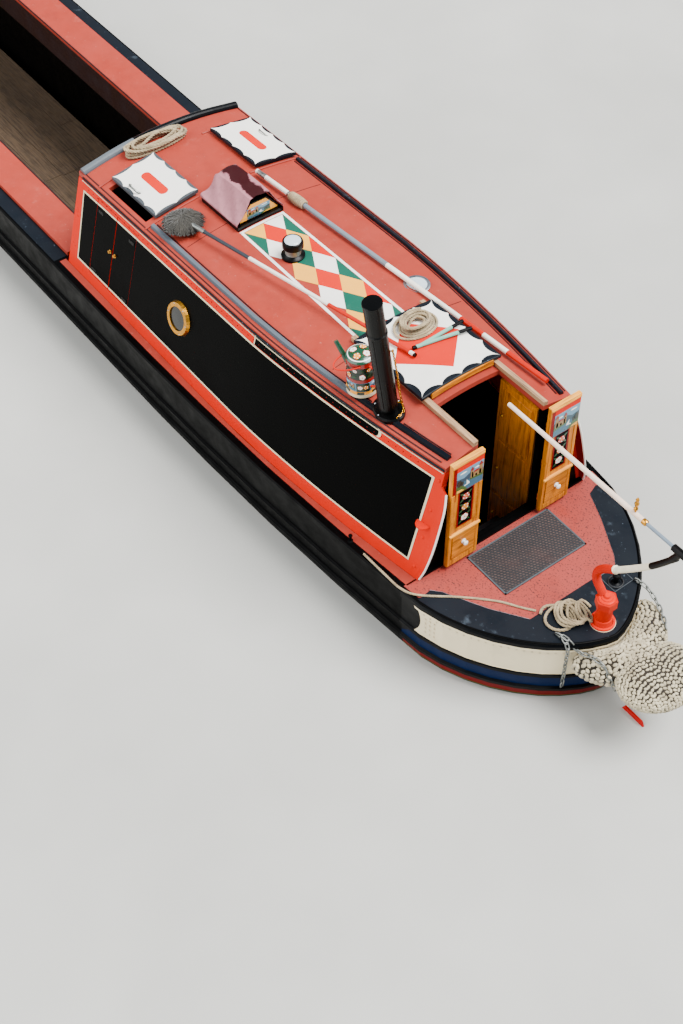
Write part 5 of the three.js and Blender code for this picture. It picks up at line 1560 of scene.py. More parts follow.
# The chain's line from the eye down to the foot, in the chimney's own axes
CHIMNEY_CHAIN = [
    (-0.056, -0.062, 0.62),
    (-0.062, -0.066, 0.4),
    (-0.06, -0.066, 0.2),
    (-0.068, -0.068, 0.085),
    (-0.1, -0.045, 0.056),
    (-0.112, 0.01, 0.052),
]
CHIMNEY_EYES = (0.62, 0.1)
EYE_ENDS = ((-0.045, -0.05), (-0.058, -0.064))
CHIMNEY_LIP = [(0.0005, -0.02), (0.0035, -0.016), (0.0035, -0.002), (0.0, 0.002), (-0.006, 0.002)]
CHIMNEY_SEAM = (0.1, 0.78)
FOOT_BOLTS = (0.108, 0.084, 0.0405)  # their ring's half sizes, and their height


def chimney():
    """The flue's lip and soot, a seam, the bolts on its foot, and a chain from its eye down to the foot."""
    forward, y, high = CHIMNEY["forward"], CHIMNEY["y"], CHIMNEY["high"]
    base = Matrix.Translation(roof_surface(forward, y, -CHIMNEY["sunk"]))
    place = base @ Matrix.Rotation(-CHIMNEY["lean"], 4, "X")
    r = CHIMNEY["radius"] - 0.002
    lip = Pile().turned([(r + out, high + up) for out, up in CHIMNEY_LIP], place)
    lip.piece("chimney_lip", "stove_black")
    soot = [(r - 0.007, high + 0.0004), (r - 0.007, high + 0.0014), (0.0, high + 0.0014)]
    Pile().turned(soot, place).piece("chimney_soot", "soot")
    seam = Pile().tube([place @ Vector((-0.03, r - 0.005, h)) for h in steps(*CHIMNEY_SEAM, 2)], 0.004)
    seam.piece("chimney_seam", "stove_black")
    slope = atan(2 * CAMBER * y / cabin_top(forward) ** 2)
    foot = base @ Matrix.Rotation(-slope, 4, "X")
    long, wide, up = FOOT_BOLTS
    spots = [Vector((long * cos(a + 0.5), wide * sin(a + 0.5), up)) for a in angles(6)]
    bolts = Pile().heads([foot @ Matrix.Translation(spot) for spot in spots], 0.009, 0.008)
    bolts.piece("chimney_bolts", "steel")
    eyes = Pile()
    for height in CHIMNEY_EYES:
        eyes.tube([place @ Vector((*end, height)) for end in EYE_ENDS], 0.006)
    eyes.piece("chimney_eyes", "brass")
    chain("chimney_chain", smooth_path([place @ Vector(p) for p in CHIMNEY_CHAIN], 8), 0.02, 0.003, "brass")


def chain(name, path, pitch, wire, look):
    """Links along a path, each turned a quarter against the last."""
    line, _ = even_path(path, max(2, int(even_path(path, 1)[1] / pitch)))
    pile = Pile()
    for i, centre in enumerate(line):
        along = (line[min(len(line) - 1, i + 1)] - line[max(0, i - 1)]).normalized()
        one = along.orthogonal().normalized()
        across = (one + along.cross(one) * (1 if i % 2 else -1)).normalized()
        ring = []
        for a in angles(12):
            end = copysign(pitch * 0.36, cos(a)) if abs(cos(a)) > 0.2 else 0
            u, v = end + pitch * 0.3 * cos(a), pitch * 0.3 * sin(a)
            ring.append(centre + along * u + across * v)
        pile.tube(ring, wire, 6, closed=True)
    pile.piece(name, look, sharp=80)


# The mushroom vent: its place, how far it is sunk, and its parts by name, look, rows of radius and height
VENT_AT, VENT_SUNK = (2.343, 0.1), 0.003
VENT = [
    ("vent_foot", "stove_black", [(0.09, 0.004), (0.09, 0.02), (0.064, 0.03), (0.06, 0.034)]),
    ("vent_body", "galvanised", [(0.06, 0.033), (0.054, 0.045), (0.054, 0.078), (0.066, 0.088)]),
    ("vent_cap", "stove_black", [
        (0.07, 0.088), (0.08, 0.094), (0.08, 0.134), (0.074, 0.149), (0.066, 0.154), (0.062, 0.15)]),
    ("vent_glass", "pale_glass", [(0.063, 0.149), (0.055, 0.156), (0.034, 0.162), (0.0, 0.164)]),
]


def vent():
    """The mushroom vent's foot, body, cap and glass."""
    base = Matrix.Translation(roof_surface(*VENT_AT, -VENT_SUNK))
    for name, look, profile in VENT:
        Pile().turned(profile, base, 48).piece(name, look)


# The pigeon box: its ends, the y of its middle, half widths and heights of its cover
BOX = {"aft": 2.84, "fore": 3.34, "y": 0.045, "half": 0.213, "ridge": 0.088, "high": 0.232, "skirt": 0.05}
# Ranges of a fold's waves forward and across, its shift and its size
FOLD_RANGES = ((2, 9), (2, 7), (0, 6), (0.002, 0.005))
END_BOARD = [(-0.19, 0.0), (0.19, 0.0), (0.19, 0.048), (0.078, 0.176), (-0.078, 0.176), (-0.19, 0.048)]
END_FIELD = [(-0.17, 0.04), (0.17, 0.04), (0.17, 0.05), (0.07, 0.165), (-0.07, 0.165), (-0.17, 0.05)]


def cloth_cover(f0, f1, y0, half):
    """The cover's surface: u runs forward from 0 to 1, and v over the box from -1 to 1."""
    rng = random.Random(5)
    folds = [[rng.uniform(low, high) for low, high in FOLD_RANGES] for _ in range(5)]
    skirt, shoulder, eaves = BOX["skirt"], 0.3, 0.88  # the last two are shares of the way from ridge to foot

    def cover(u, v):
        top = BOX["high"] - 0.012 - 0.02 * abs(u - 0.4) - 0.05 * clamp((u - 0.86) / 0.14) ** 2
        side, share = copysign(1, v), abs(v)
        ridge = BOX["ridge"] - 0.02 * side
        if share < shoulder:
            y, z = side * ridge * share / shoulder, top - 0.008 * (1 - share / shoulder)
        elif share < eaves:
            t = (share - shoulder) / 0.58
            y = side * (ridge + (half - ridge) * t)
            z = top + (skirt - top) * t - 0.014 * sin(pi * t)
        else:
            y, z = side * half, skirt - 0.016 * (share - eaves) / 0.12
        # Sharp ridges: the crests of several waves that cross the cloth
        crease = sum(size * (1 - 2 * abs(sin(a * u + b * v + c))) for a, b, c, size in folds)
        damp = clamp((1 - share) * 6) * (0.5 + 0.5 * clamp(u * 4))
        f = f0 + 0.05 * (1 - share) ** 2 + (f1 - f0 - 0.012) * u * (1 - 0.02 * sin(5 * v))
        ground = roof_z(f, y0 + y) + 0.004
        height = roof_z(f, y0) + z + crease * 0.8 * damp
        return Vector((at(f), y0 + y + crease * 0.4 * damp, max(ground, height)))

    return cover


def thick_sheet(grid, thick):
    """A grid of points as a closed sheet: its upper face, its under face and its rim."""
    last, across = len(grid) - 1, len(grid[0]) - 1
    top, under = [], []
    for i, j in product(range(last + 1), range(across + 1)):
        a = grid[min(last, i + 1)][j] - grid[max(0, i - 1)][j]
        b = grid[i][min(across, j + 1)] - grid[i][max(0, j - 1)]
        top.append(grid[i][j])
        under.append(grid[i][j] - a.cross(b).normalized() * thick)
    row, count = across + 1, len(top)
    faces = []
    for i, j in product(range(last), range(across)):
        a = i * row + j
        face = [a, a + 1, a + 1 + row, a + row]
        faces += [face, [k + count for k in reversed(face)]]
    rim = list(range(row)) + [i * row + across for i in range(1, last + 1)]
    rim += [last * row + j for j in range(across - 1, -1, -1)] + [i * row for i in range(last - 1, 0, -1)]
    for a, b in zip(rim, rim[1:] + rim[:1]):
        faces.append([b, a, a + count, b + count])
    return Pile().add(top + under, faces)


def pigeon_box():
    """A box with a painted end under a cloth cover that has slipped and creased."""
    f0, f1, y0, half = (BOX[k] for k in ("aft", "fore", "y", "half"))
    cover = cloth_cover(f0, f1, y0, half)
    grid = [[cover(u, v) for v in steps(-1, 1, 60)] for u in steps(0, 1, 44)]
    made = thick_sheet(grid, 0.0024).piece("pigeon_box_cloth", "maroon_cloth", sharp=28)
    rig.slot(made, "maroon_cloth")
    # The box under the cloth: an end board, the box proper, and a frame round its foot
    rings = []
    for f, size in ((f0 + 0.022, 1.0), (f0 + 0.045, 1.0), (f0 + 0.05, 0.84), (f1 - 0.09, 0.8)):
        board = [(y0 + y * size, z * size - (0.02 if z == 0 else 0)) for y, z in END_BOARD]
        rings.append([Vector((at(f), y, roof_z(f, y0) + z)) for y, z in board])
    box = Pile().rings(rings)
    frame_half = half - 0.004
    outline = [(frame_half, -0.01), (frame_half, 0.038), (-frame_half, 0.038), (-frame_half, -0.01)]
    box.rings([[roof_surface(f, y0 + y, z) for y, z in outline] for f in (f0 - 0.006, f1 - 0.012)])
    wood = box.piece("pigeon_box", "stove_black")
    end = lambda y, z, out: Vector((at(f0 + 0.022) - out, y0 + y, roof_z(f0, y0) + z))
    layers = [("diamond_yellow", 0, [[END_FIELD]])] + castle(-0.105, 0.042, 0.105, 0.132)
    painted("pigeon_box_end", end, layers)
    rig.replaces(made, "pigeon_box_cover")
    middle = grid[len(grid) // 2]
    width = sum((b - a).length for a, b in zip(middle, middle[1:]))
    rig.sheet(made, flat=(round(width, 3), f1 - f0), held="draped", rests_on=[wood.name])


CAN = {"forward": 0.935, "y": 0.536, "radius": 0.11, "on_rail": 0.071, "rail": 0.026, "clear": 0.003}
# The can's wall: height, radius
CAN_PROFILE = [
    *((0.0, 0.11), (0.03, 0.11), (0.06, 0.102), (0.19, 0.1)),
    *((0.215, 0.092), (0.26, 0.098), (0.3, 0.094)),
]
# Hoops of paint: foot, head, how far proud, look, name
CAN_HOOPS = [
    (0.001, 0.03, 0.0012, "cream", "can_foot"),
    (0.031, 0.052, 0.0012, "yellow", "can_lower_band"),
    (0.053, 0.128, 0.0012, "sky", "can_scene_band"),
    (0.129, 0.158, 0.0016, "castle_red", "can_name_band"),
    (0.159, 0.212, 0.0012, "dark_green", "can_rose_band"),
    (0.213, 0.26, 0.0012, "dark_green", "can_shoulder"),
    (0.26, 0.299, 0.0012, "castle_red", "can_neck"),
]
LID = [(0.1, 0.3), (0.102, 0.306), (0.096, 0.312), (0.07, 0.326), (0.035, 0.336), (0.0, 0.34)]
CAN_STRAP = [(-0.088, 0, 0.262), (-0.15, 0, 0.27), (-0.175, 0, 0.2), (-0.15, 0, 0.12), (-0.098, 0, 0.085)]
CAN_ROUND = 0.1  # the radius on which distances round the can are measured


def can_place():
    """The can's matrix: it stands on the roof with its outboard side on the handrail."""
    f, inner = CAN["forward"], CAN["y"] - CAN["radius"]
    on_rail = cabin_top(f) - CAN["on_rail"]
    low, high = roof_z(f, inner) + CAN["clear"], roof_z(f, on_rail) + CAN["rail"] + CAN["clear"]
    tilt = (high - low) / (on_rail - inner)
    stand = Matrix.Translation((at(f), CAN["y"], low + tilt * CAN["radius"]))
    return stand @ Matrix.Rotation(atan(tilt), 4, "X") @ Matrix.Rotation(-ROOF_SLOPE, 4, "Y")


def can_artwork():
    """Roses on the can's upper bands, and castles and roses in turn on its wide band."""
    layers = []
    for k in range(7):
        s = -0.3 + 0.1 * k
        layers += rose(s, 0.186, 0.021, *ROSES[k % 2]) + rose(s + 0.05, 0.236, 0.017, *ROSES[(k + 1) % 2])
        leaves = [leaf(s + 0.045, 0.186, 0.016, 0.008, 0.5), leaf(s, 0.236, 0.016, 0.008, 2.4)]
        layers.append(("leaf_green", 2, leaves))
        if k % 2:
            layers += castle(s - 0.045, 0.058, s + 0.045, 0.124)
        else:
            layers.append(("dark_green", 2, [[box_outline(s - 0.045, 0.056, s + 0.045, 0.126)]]))
            layers += posy(s, 0.091, 0.024, 2, 1.6, across=True)
        layers.append(("dark_green", 3, [[box_outline(s - 0.04, 0.034, s + 0.005, 0.05)]]))
    return layers


def lid_artwork():
    """A white ring and four roses with leaves."""
    layers = [("white", 1, [[disc(0, 0, 0.088, 40), disc(0, 0, 0.082, 40)]])]
    for k, a in enumerate(angles(4)):
        b, c = a + 0.5, a + 0.5 + 0.7
        layers += rose(0.05 * cos(b), 0.05 * sin(b), 0.025, *ROSES[k % 2])
        layers.append(("leaf_green", 2, [leaf(0.05 * cos(c), 0.05 * sin(c), 0.02, 0.009, a)]))
    return layers


def water_can():
    """The can's painted hoops and artwork, its lid, its bucket handle and its strap."""
    place = can_place()
    size = lambda height: between(CAN_PROFILE, height)

    def wall(s, height, out):
        """s is the distance round the can from its port side, and height is above its foot."""
        r, a = size(height) + out, pi / 2 + s / CAN_ROUND
        return place @ Vector((r * cos(a), r * sin(a), height))

    for low, high, proud, look, name in CAN_HOOPS:
        rows = [(size(low) - 0.002, low), (size(low) + proud, low + 0.001)]
        rows += [(size(h) + proud, h) for h, _ in CAN_PROFILE if low + 0.002 < h < high - 0.002]
        rows += [(size(high) + proud, high - 0.001), (size(high) - 0.002, high)]
        Pile().turned(rows, place, 56).piece(name, look)
    painted("can_paint", wall, can_artwork(), base=0.0016, step=0.02)
    Pile().turned(LID, place, 56).piece("can_lid", "can_green")
    dome = LID[:1:-1] + [(0.2, 0.28)]
    top = lambda u, v, out: place @ Vector((u, v, between(dome, hypot(u, v)) + out + 0.0006))
    painted("can_lid_paint", top, lid_artwork(), step=0.02)
    # The bucket handle hangs over to the side, from an ear at each end
    ear, side = Vector((0.08, -0.06, 0)), Vector((0.6, 0.8, 0))
    loop = []
    for a in steps(0, pi, 24):
        drop = Vector((0, 0, 0.285 - 0.07 * sin(a)))
        loop.append(place @ (ear * 1.02 * cos(a) + side * 0.185 * sin(a) + drop))
    Pile().tube(loop, 0.0055).piece("can_loop", "diamond_red")
    strap = Pile().tube(smooth_path([place @ Vector(p) for p in CAN_STRAP], 6), 0.008)
    strap.piece("can_strap", "diamond_red")


# The mop's wool: its middle, height above the roof and radii; its ferrule's line by the points at its ends
WOOL = {"forward": 3.175, "y": 0.522, "rise": 0.048, "radii": (0.14, 0.15, 0.052), "strands": 420}
MOP_FORE, MOP_AFT = (3.11, 0.508, 0.08), (0.85, 0.146, 0.099)
MOP_RESTS_AT = (3.15, 0.52)
SHAFT_ENDS = ((3.33, -0.268), (0.18, -0.462))
SHAFT_RISE = 0.044
HITCH = {"turns": 10, "from": 0.42, "pitch": 0.017, "radius": 0.0085}


def mop_wool():
    """Ragged strands that spread over the mop's head and hang round it."""
    rng = random.Random(11)
    long, wide, thick = WOOL["radii"]
    height = roof_z(WOOL["forward"] - 0.025, WOOL["y"] - 0.002) + WOOL["rise"]
    centre = Vector((at(WOOL["forward"]), WOOL["y"], height))
    wool = Pile()
    for _ in range(WOOL["strands"]):
        a, start, end = rng.uniform(0, 2 * pi), rng.uniform(0.0, 0.75), rng.uniform(0.9, 1.2)
        swing, lift = rng.uniform(-0.7, 0.7), rng.uniform(0.004, 0.022)
        path = []
        for t in steps(start, end, 6):
            x, y = long * t * cos(a + swing * t), wide * t * sin(a + swing * t)
            z = thick * sqrt(max(0.0, 1 - t * t)) + lift * (1 - 0.5 * t) + rng.uniform(-0.004, 0.004)
            ground = roof_z(centre.x - BULKHEAD + x, centre.y + y) + 0.006
            path.append(Vector((centre.x + x, centre.y + y, max(ground, centre.z + z))))
        wool.tube(path, lambda s: 0.0052 * (1 - 0.5 * s), 5)
    wool.piece("mop_strands", "mop_wool", sharp=80)


def ferrules():
    """The mop's ferrule, and the boat shaft's with a hitch of rope round it."""
    start = Vector((at(MOP_FORE[0]), MOP_FORE[1], roof_z(*MOP_RESTS_AT) + MOP_FORE[2]))
    way = (roof_surface(*MOP_AFT) - start).normalized()
    Pile().tube([start + way * 0.02, start + way * 0.17], 0.018, 16).piece("mop_ferrule", "galvanised")
    fore, aft = (roof_surface(f, y, SHAFT_RISE) for f, y in SHAFT_ENDS)
    way = (fore - aft).normalized()
    hook = Pile().tube([fore - way * 0.11, fore - way * 0.006], lambda s: 0.0225 - 0.004 * s, 16)
    hook.tube([fore - way * 0.4, fore - way * 0.385], 0.021, 16)
    hook.piece("shaft_ferrule", "galvanised")
    rope = Pile()
    for k in range(HITCH["turns"]):
        middle = fore - way * (HITCH["from"] + HITCH["pitch"] * k)
        wide = 0.028 + 0.006 * sin(pi * k / (HITCH["turns"] - 1))
        ring = [middle + Vector((0, cos(a), sin(a))) * wide for a in angles(16)]
        rope.tube(ring, HITCH["radius"], 6, closed=True)
    rope.piece("shaft_hitch", "rope")


# Rear doors: edges nearest and furthest from the middle, faces and head
DOOR = {"near": 0.291, "far": 0.561, "face": -0.058, "back": -0.028, "head": 1.055}
# A door's front. Columns: piece, look, from and to across from the port edge, foot, head, how far proud
DOOR_PANELS = [
    ("frame", "grained", 0.002, 0.03, 0.036, 0.77, 0.005),
    ("frame", "grained", 0.24, 0.268, 0.036, 0.77, 0.005),
    ("frame", "grained", 0.03, 0.24, 0.036, 0.085, 0.005),
    ("drawer", "grained_across", 0.034, 0.236, 0.1, 0.335, 0.009),
    ("ledge", "pale_grain", 0.002, 0.268, 0.349, 0.367, 0.02),
    ("ledge", "pale_grain", 0.004, 0.266, 0.336, 0.349, 0.012),
    ("ledge", "pale_grain", 0.001, 0.269, 1.034, 1.054, 0.007),
]
DOOR_HINGES = (0.16, 0.52, 0.88)
DOOR_KNOB = [
    *((0.02, 0.009), (0.02, 0.012), (0.008, 0.014), (0.007, 0.02)),
    *((0.017, 0.028), (0.02, 0.035), (0.013, 0.042), (0.0, 0.044)),
]
# Paint on a door's front and back. Columns: look, level, box, and the box of its hole if it has one
DOOR_FRONT = [
    ("deep_red", 0, (0.011, 0.7, 0.0385, 1.03)),
    ("orange_red", 0, (0.0385, 0.979, 0.268, 1.03)),
    ("deep_red", 0, (0.062, 0.413, 0.2, 0.77)),
    ("gloss_black", 1, (0.075, 0.425, 0.186, 0.765)),
]
DOOR_BACK = [
    ("deep_red", 0, (0.004, 0.038, 0.266, 1.05)),
    ("gloss_black", 1, (0.042, 0.092, 0.228, 0.998)),
    ("cream", 2, (0.03, 0.08, 0.24, 1.01), (0.042, 0.092, 0.228, 0.998)),
]


def box_layers(rows):
    """Layers of plain boxes, some with a hole."""
    return [(look, level, [[box_outline(*box) for box in boxes]]) for look, level, *boxes in rows]


def rear_doors():
    """Panels, artwork, a knob, hinges and a head on each door, and its painted back."""
    for name, sign in SIDES:
        body = f"rear_door_{name}"
        port = max(sign * DOOR["near"], sign * DOOR["far"])
        front, back = cross_surface(DOOR["face"], -1, port), cross_surface(DOOR["back"], 1, port)
        scene = castle(0.039, 0.771, 0.266, 0.979, flip=sign < 0)
        layers = box_layers(DOOR_FRONT) + scene + posy(0.13, 0.595, 0.044, 3, 2.4)
        painted(f"door_paint_{name}", front, layers, body)
        painted(f"door_back_{name}", back, box_layers(DOOR_BACK), body)
        piles = {}
        for piece, look, s0, s1, low, high, proud in DOOR_PANELS:
            piles.setdefault((piece, look), Pile()).slab(front, (s0, low, s1, high), proud)
        for (piece, look), pile in piles.items():
            pile.piece(f"door_{piece}_{name}", look, body)
        knob = Pile().turned(DOOR_KNOB, on_surface(front, 0.135, 0.235), 24)
        knob.piece(f"door_knob_{name}", "china", body)
        hinges = Pile()
        for up in DOOR_HINGES:
            pin = deck_surface(DOOR["back"] + 0.004, sign * (DOOR["near"] + 0.004), up)
            hinges.tube([pin - UP * 0.03, pin + UP * 0.03], 0.005)
        hinges.piece(f"door_hinges_{name}", "brass", body)
        low = deck_surface(DOOR["face"] - 0.003, port - 0.271, DOOR["head"] + 0.0004)
        high = deck_surface(DOOR["back"] + 0.001, port + 0.001, DOOR["head"] + 0.009)
        Pile().block(low, high).piece(f"door_head_{name}", "pale_grain", body)


# Fenders. Columns: name, node, middle, radii, the axis of its rows, knob's spacing and its half sizes
BUTTONS = [
    ("stern_button_weave", "stern_fender", (-1.55, -0.05, -0.11), (0.25, 0.31, 0.125), 1, 0.0265,
     (0.0105, 0.0082, 0.0155)),
    ("bow_fender_weave", "bow_fender", (20.69, 0.0, -0.02), (0.11, 0.19, 0.21), 2, 0.03,
     (0.0115, 0.009, 0.018)),
]
# The stern fender's bent roll: its depth below the deck, its radius at the tips and how much more it has in
# the middle, the spacing of the knobs round it and along it, and a knob's half sizes
SAUSAGE = {"depth": 0.155, "tip": 0.03, "swell": 0.11, "round": 0.034, "along": 0.03}
SAUSAGE_KNOB = (0.0135, 0.0105, 0.0195)
SAUSAGE_PATH = [
    *((-1.095, 0.298), (-1.18, 0.235), (-1.285, 0.12), (-1.325, -0.01)),
    *((-1.295, -0.17), (-1.185, -0.32), (-1.01, -0.425)),
]
PATH_STEPS = 200


def tree_of(name):
    """A node's mesh, made ready for casting rays."""
    data = frame["nodes"][name].data
    points, faces = [v.co.copy() for v in data.vertices], [tuple(p.vertices) for p in data.polygons]
    return BVHTree.FromPolygons(points, faces)


def knot(pile, tree, spot, out, along, row, size, rng):
    """One knob of plaited rope where a ray from outside meets the fender, if it does near the spot."""
    aside = along.cross(out).normalized()
    start = spot + out * 0.06 + (along * rng.uniform(-0.3, 0.3) + aside * rng.uniform(-0.3, 0.3)) * size[2]
    hit, normal, _, _ = tree.ray_cast(start, -out, 0.09)
    if hit is None or normal.dot(out) < 0.2:
        return
    lean = (0.8 if row % 2 else -0.8) + rng.uniform(-0.5, 0.5)
    lay = (along + aside * lean).normalized()
    lay = (lay - normal * lay.dot(normal)).normalized()
    side = normal.cross(lay)
    turn = Matrix((side, normal, lay)).transposed()
    swell = rng.uniform(0.9, 1.12)
    pile.ball(hit + normal * 0.001, [s * swell for s in size], turn)


def sausage(rng):
    """Rows of knobs round the stern fender's bent roll."""
    tree, pile = tree_of("stern_fender"), Pile()
    bend = smooth_path([deck_surface(f, y, -SAUSAGE["depth"]) for f, y in SAUSAGE_PATH], 12)
    path, length = even_path(bend, PATH_STEPS)
    rows = int(length / SAUSAGE["along"])
    for row in range(rows):
        share = (row + 0.5) / rows
        k = min(PATH_STEPS - 1, int(share * PATH_STEPS))
        here, along = path[k], (path[k + 1] - path[k]).normalized()
        r = SAUSAGE["tip"] + SAUSAGE["swell"] * sin(pi * share) ** 0.5
        count = max(6, int(2 * pi * r / SAUSAGE["round"]))
        one = along.cross(UP).normalized()
        for a in angles(count):
            b = a + pi * (row % 2) / count
            out = one * cos(b) + along.cross(one) * sin(b)
            knot(pile, tree, here + out * r, out, along, row, SAUSAGE_KNOB, rng)
    pile.piece("stern_fender_weave", "fender_rope", sharp=80)


def button(rng, name, node, middle, radii, axis, pitch, size):
    """Rows of knobs round an ellipsoid, about one of its axes."""
    tree, pile = tree_of(node), Pile()
    centre = deck_surface(*middle)
    one, two = (k for k in range(3) if k != axis)
    pole = Vector([float(k == axis) for k in range(3)])
    rows = int(pi * radii[axis] / pitch)
    for row in range(rows):
        lift = -cos(pi * (row + 0.5) / rows)
        ring = sqrt(1 - lift * lift)
        wide = ring * (radii[one] + radii[two]) / 2
        count = max(5, int(2 * pi * wide / pitch))
        for a in angles(count):
            b = a + pi * (row % 2) / count
            unit = Vector()
            unit[axis], unit[one], unit[two] = lift, ring * cos(b), ring * sin(b)
            out = Vector([u / r for u, r in zip(unit, radii)]).normalized()
            along = (pole - out * pole.dot(out)).normalized()
            spot = centre + Vector([u * r for u, r in zip(unit, radii)])
            knot(pile, tree, spot, out, along, row, size, rng)
    pile.piece(name, "fender_rope", sharp=80)


def fenders():
    """Plaited knobs over the stern fender's roll and over both buttons."""
    rng = random.Random(4)
    sausage(rng)
    for row in BUTTONS:
        button(rng, *row)


# Fender chains. Columns: name, how much each drops on its way out, plan points from its eye, forward and y
CHAINS = [
    ("port", 0.45, [
        (-0.956, 0.32), (-1.02, 0.3), (-1.11, 0.265), (-1.2, 0.24), (-1.3, 0.225), (-1.4, 0.2)]),
    ("stbd", 0.3, [
        (-0.942, -0.423), (-1.0, -0.442), (-1.08, -0.44), (-1.15, -0.425), (-1.22, -0.395), (-1.3, -0.35)]),
]
LINK_RISE, LEAST_HEIGHT = 0.022, 1.2
# The chain that hangs over the edge: forward, y, height above the deck, then where and how deep it hangs
TAIL = [(-0.97, 0.315, 0.014), (-1.03, 0.322, 0.012), (-1.062, 0.332, -0.03)]
TAIL_HANGS = (-1.066, 0.336)
TAIL_HEIGHTS = (-0.12, -0.2, -0.28, -0.36, -0.42)


def fender_chains():
    """Chains from eyes on the deck over the fender, each lying on what is under it or falling straight."""
    tree = tree_of("stern_fender")
    for name, fall, plan in CHAINS:
        points = []
        for f, y in plan:
            straight = DECK - fall * dist((f, y), plan[0])
            top = tree.ray_cast(deck_surface(f, y, 0.4), -UP)[0]
            deck = DECK if abs(y) < counter_half(f) - 0.005 else 0.0
            height = max(deck, top.z + 0.01 if top else 0.0, straight, LEAST_HEIGHT)
            points.append(Vector((at(f), y, height + LINK_RISE)))
        chain(f"fender_chain_{name}", smooth_path(points, 8), 0.045, 0.0055, "galvanised")
        f, y = plan[0]
        ring = [deck_surface(u, y, up) for u, up in disc(f, 0.02, 0.02, 16, 0.018)]
        Pile().tube(ring, 0.006, closed=True).piece(f"fender_eye_{name}", "galvanised")
    tail = [deck_surface(*point) for point in TAIL] + [deck_surface(*TAIL_HANGS, up) for up in TAIL_HEIGHTS]
    chain("fender_chain_tail", smooth_path(tail, 6), 0.042, 0.005, "galvanised")


# Steering gear. Rows of radius and height
STOCK = -1.04
STOCK_NUT = [
    *((0.058, 0.257), (0.058, 0.264), (0.052, 0.268), (0.04, 0.268), (0.038, 0.275)),
    *((0.026, 0.277), (0.022, 0.277), (0.02, 0.294), (0.014, 0.299), (0.0, 0.3)),
]
COLLAR_RINGS = [
    ("collar_flange", "orange_red", [
        (0.072, 0.0006), (0.087, 0.0006), (0.087, 0.016), (0.083, 0.02), (0.072, 0.02)]),
    ("collar_ring", "cream", [(0.0875, 0.0006), (0.092, 0.0006), (0.091, 0.004), (0.0875, 0.004)]),
]
TILLER_END = (-1.227, 0, 1.205)
TILLER_CAP = [(0.02, -0.03), (0.0215, -0.026), (0.0215, -0.002), (0.017, 0.006), (0.0135, 0.006)]


def steering_trim():
    """The nut on the rudder stock, the collar's flange and pale ring, and the tiller's brass cap."""
    stock = Matrix.Translation(deck_surface(STOCK, 0, 0))
    Pile().turned(STOCK_NUT, stock).piece("stock_nut", "orange_red", "steering")
    for name, look, rows in COLLAR_RINGS:
        rings = [[stock @ Vector((r * cos(a), r * sin(a), z)) for r, z in rows] for a in angles(40)]
        Pile().rings(rings, closed=True).piece(name, look)
    end = Matrix.Translation(deck_surface(*TILLER_END)) @ Matrix.Rotation(-pi / 2, 4, "Y")
    Pile().turned(TILLER_CAP, end, 24).piece("tiller_cap", "brass", "steering")


# Hold: boards by their half width over all, height and ends, and frames along the sides
BOARDS = {"count": 9, "half": 0.87, "low": 0.1802, "high": 0.184, "aft": 4.5, "fore": 16.68, "gap": 0.003}
RIBS = {"count": 21, "aft": 4.75, "pitch": 0.58, "half": 0.02, "foot": 0.3}


def hold():
    """Floor boards with staggered ends, ribs along the sides, and beads on the coamings."""
    boards = Pile()
    rng = random.Random(2)
    gap, wide = BOARDS["gap"], 2 * BOARDS["half"] / BOARDS["count"]
    for k in range(BOARDS["count"]):
        y0 = wide * k - BOARDS["half"]
        f, cut = BOARDS["aft"], rng.uniform(1.8, 3.2)
        while f < BOARDS["fore"] - 0.08:
            end = min(BOARDS["fore"], f + cut)
            low = (at(f) + gap, y0 + gap, BOARDS["low"])
            boards.block(low, (at(end) - gap, y0 + wide - gap, BOARDS["high"]))
            f, cut = end, rng.uniform(2.6, 3.4)
    boards.piece("hold_boards", "planks")
    knees, beads = Pile(), Pile()
    for _, sign in SIDES:
        low, high = sorted((sign * 1.0, sign * 0.955))
        for i in range(RIBS["count"]):
            x, half = at(RIBS["aft"] + RIBS["pitch"] * i), RIBS["half"]
            knees.block((x - half, low, RIBS["foot"]), (x + half, high, DECK - 0.02))
        stations = steps(4.45, 16.75, 40)
        beads.tube([Vector((at(f), sign * 0.63, rim_height(f) + 0.036)) for f in stations], 0.007, 6)
    knees.piece("hold_ribs", "hull_black")
    beads.piece("coaming_beads", "maroon")


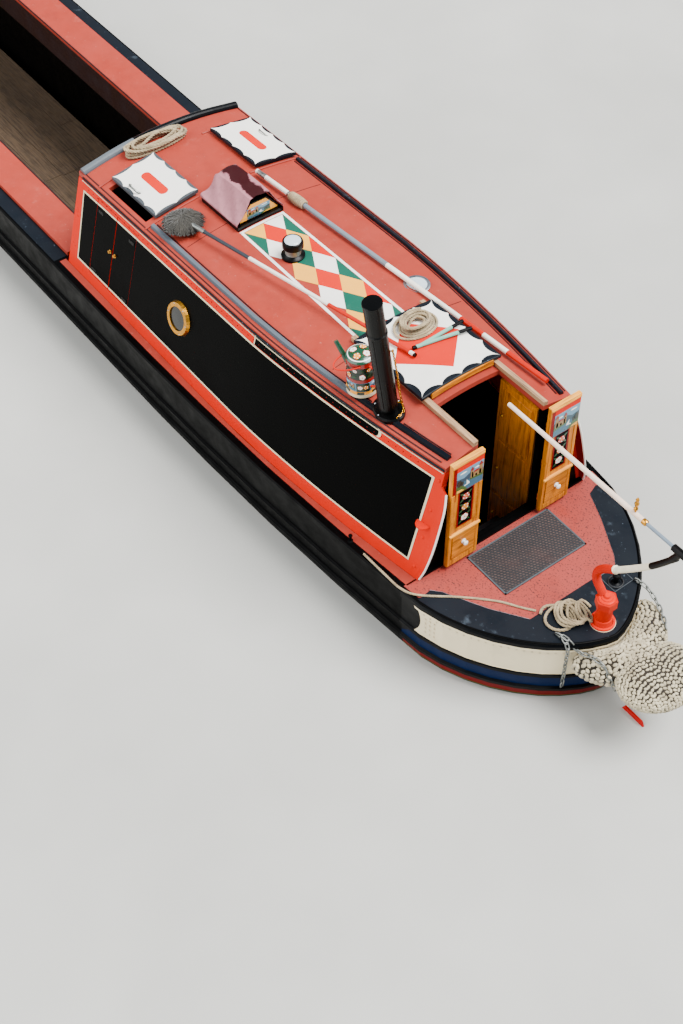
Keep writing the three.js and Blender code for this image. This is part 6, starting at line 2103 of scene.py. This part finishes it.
def fore_end():
    """The fore deck's dark margin, and the line and the grip on the hatch."""
    crown = lambda f, y: 0.0283 + 0.025 * (1 - abs(y) / max(0.05, breadth(f) - 0.044))
    top = lambda f, y, up: Vector((at(f), y, rim_height(f) + crown(f, y) + up))
    outer, inner = lambda f: max(0.03, breadth(f) - 0.046), lambda f: max(0.02, breadth(f) - 0.1)
    strip = gunwale_strip(16.86, 20.2, inner, outer, 24)
    painted("fore_deck_margin", top, [("slate", 0, strip)], base=0.0012, step=0.15)
    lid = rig.box("fore_hatch")[1].z
    flat = lambda y, x, out: Vector((at(x), y, lid + out))
    line = [[box_outline(-0.27, 18.0, 0.27, 18.52), box_outline(-0.25, 18.02, 0.25, 18.5)]]
    Pile().plates(line, flat, 0.0006, 0.002, 0.3).piece("fore_hatch_line", "cream", "fore_hatch")
    ring = [flat(0.04 * cos(a), 18.1, 0.006 + 0.028 * sin(a)) for a in steps(0, pi, 12)]
    Pile().tube(ring, 0.006).piece("fore_hatch_grip", "galvanised", "fore_hatch")


CUPBOARD = ((-0.58, -0.2), (-0.16, 0.36), (0.4, 0.88))  # the foot and head of each panel
CUPBOARD_KNOB = [(0.006, 0.006), (0.006, 0.016), (0.013, 0.022), (0.009, 0.032), (0.0, 0.034)]


def cabin_interior():
    """Panels and knobs on the cupboard inside the doorway, and a mat on the step."""
    flat = lambda x, up, out: deck_surface(x, -0.308 + out, up)
    panels, knobs = Pile(), Pile()
    for low, high in CUPBOARD:
        panels.slab(flat, (0.13, low, 0.43, high), 0.008)
        knobs.turned(CUPBOARD_KNOB, on_surface(flat, 0.4, 0.5 * (low + high)), 16)
    panels.piece("cupboard_panels", "grained")
    knobs.piece("cupboard_knobs", "brass")
    mat = Pile().block((at(0.064), -0.268, 1.0902), (at(0.328), 0.268, 1.093))
    mat.piece("step_mat", "cast_iron")


finish_nodes()
cabin_sides()
deck_paint()
diamonds()
roof_trim()
slides()
chimney()
vent()
pigeon_box()
water_can()
mop_wool()
ferrules()
rear_doors()
fenders()
fender_chains()
steering_trim()
hold()
fore_end()
cabin_interior()

with open("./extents.json", "w") as out:
    json.dump({"cad": [list(c) for c in cad_box], "final": [list(c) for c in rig.bounds()]}, out)
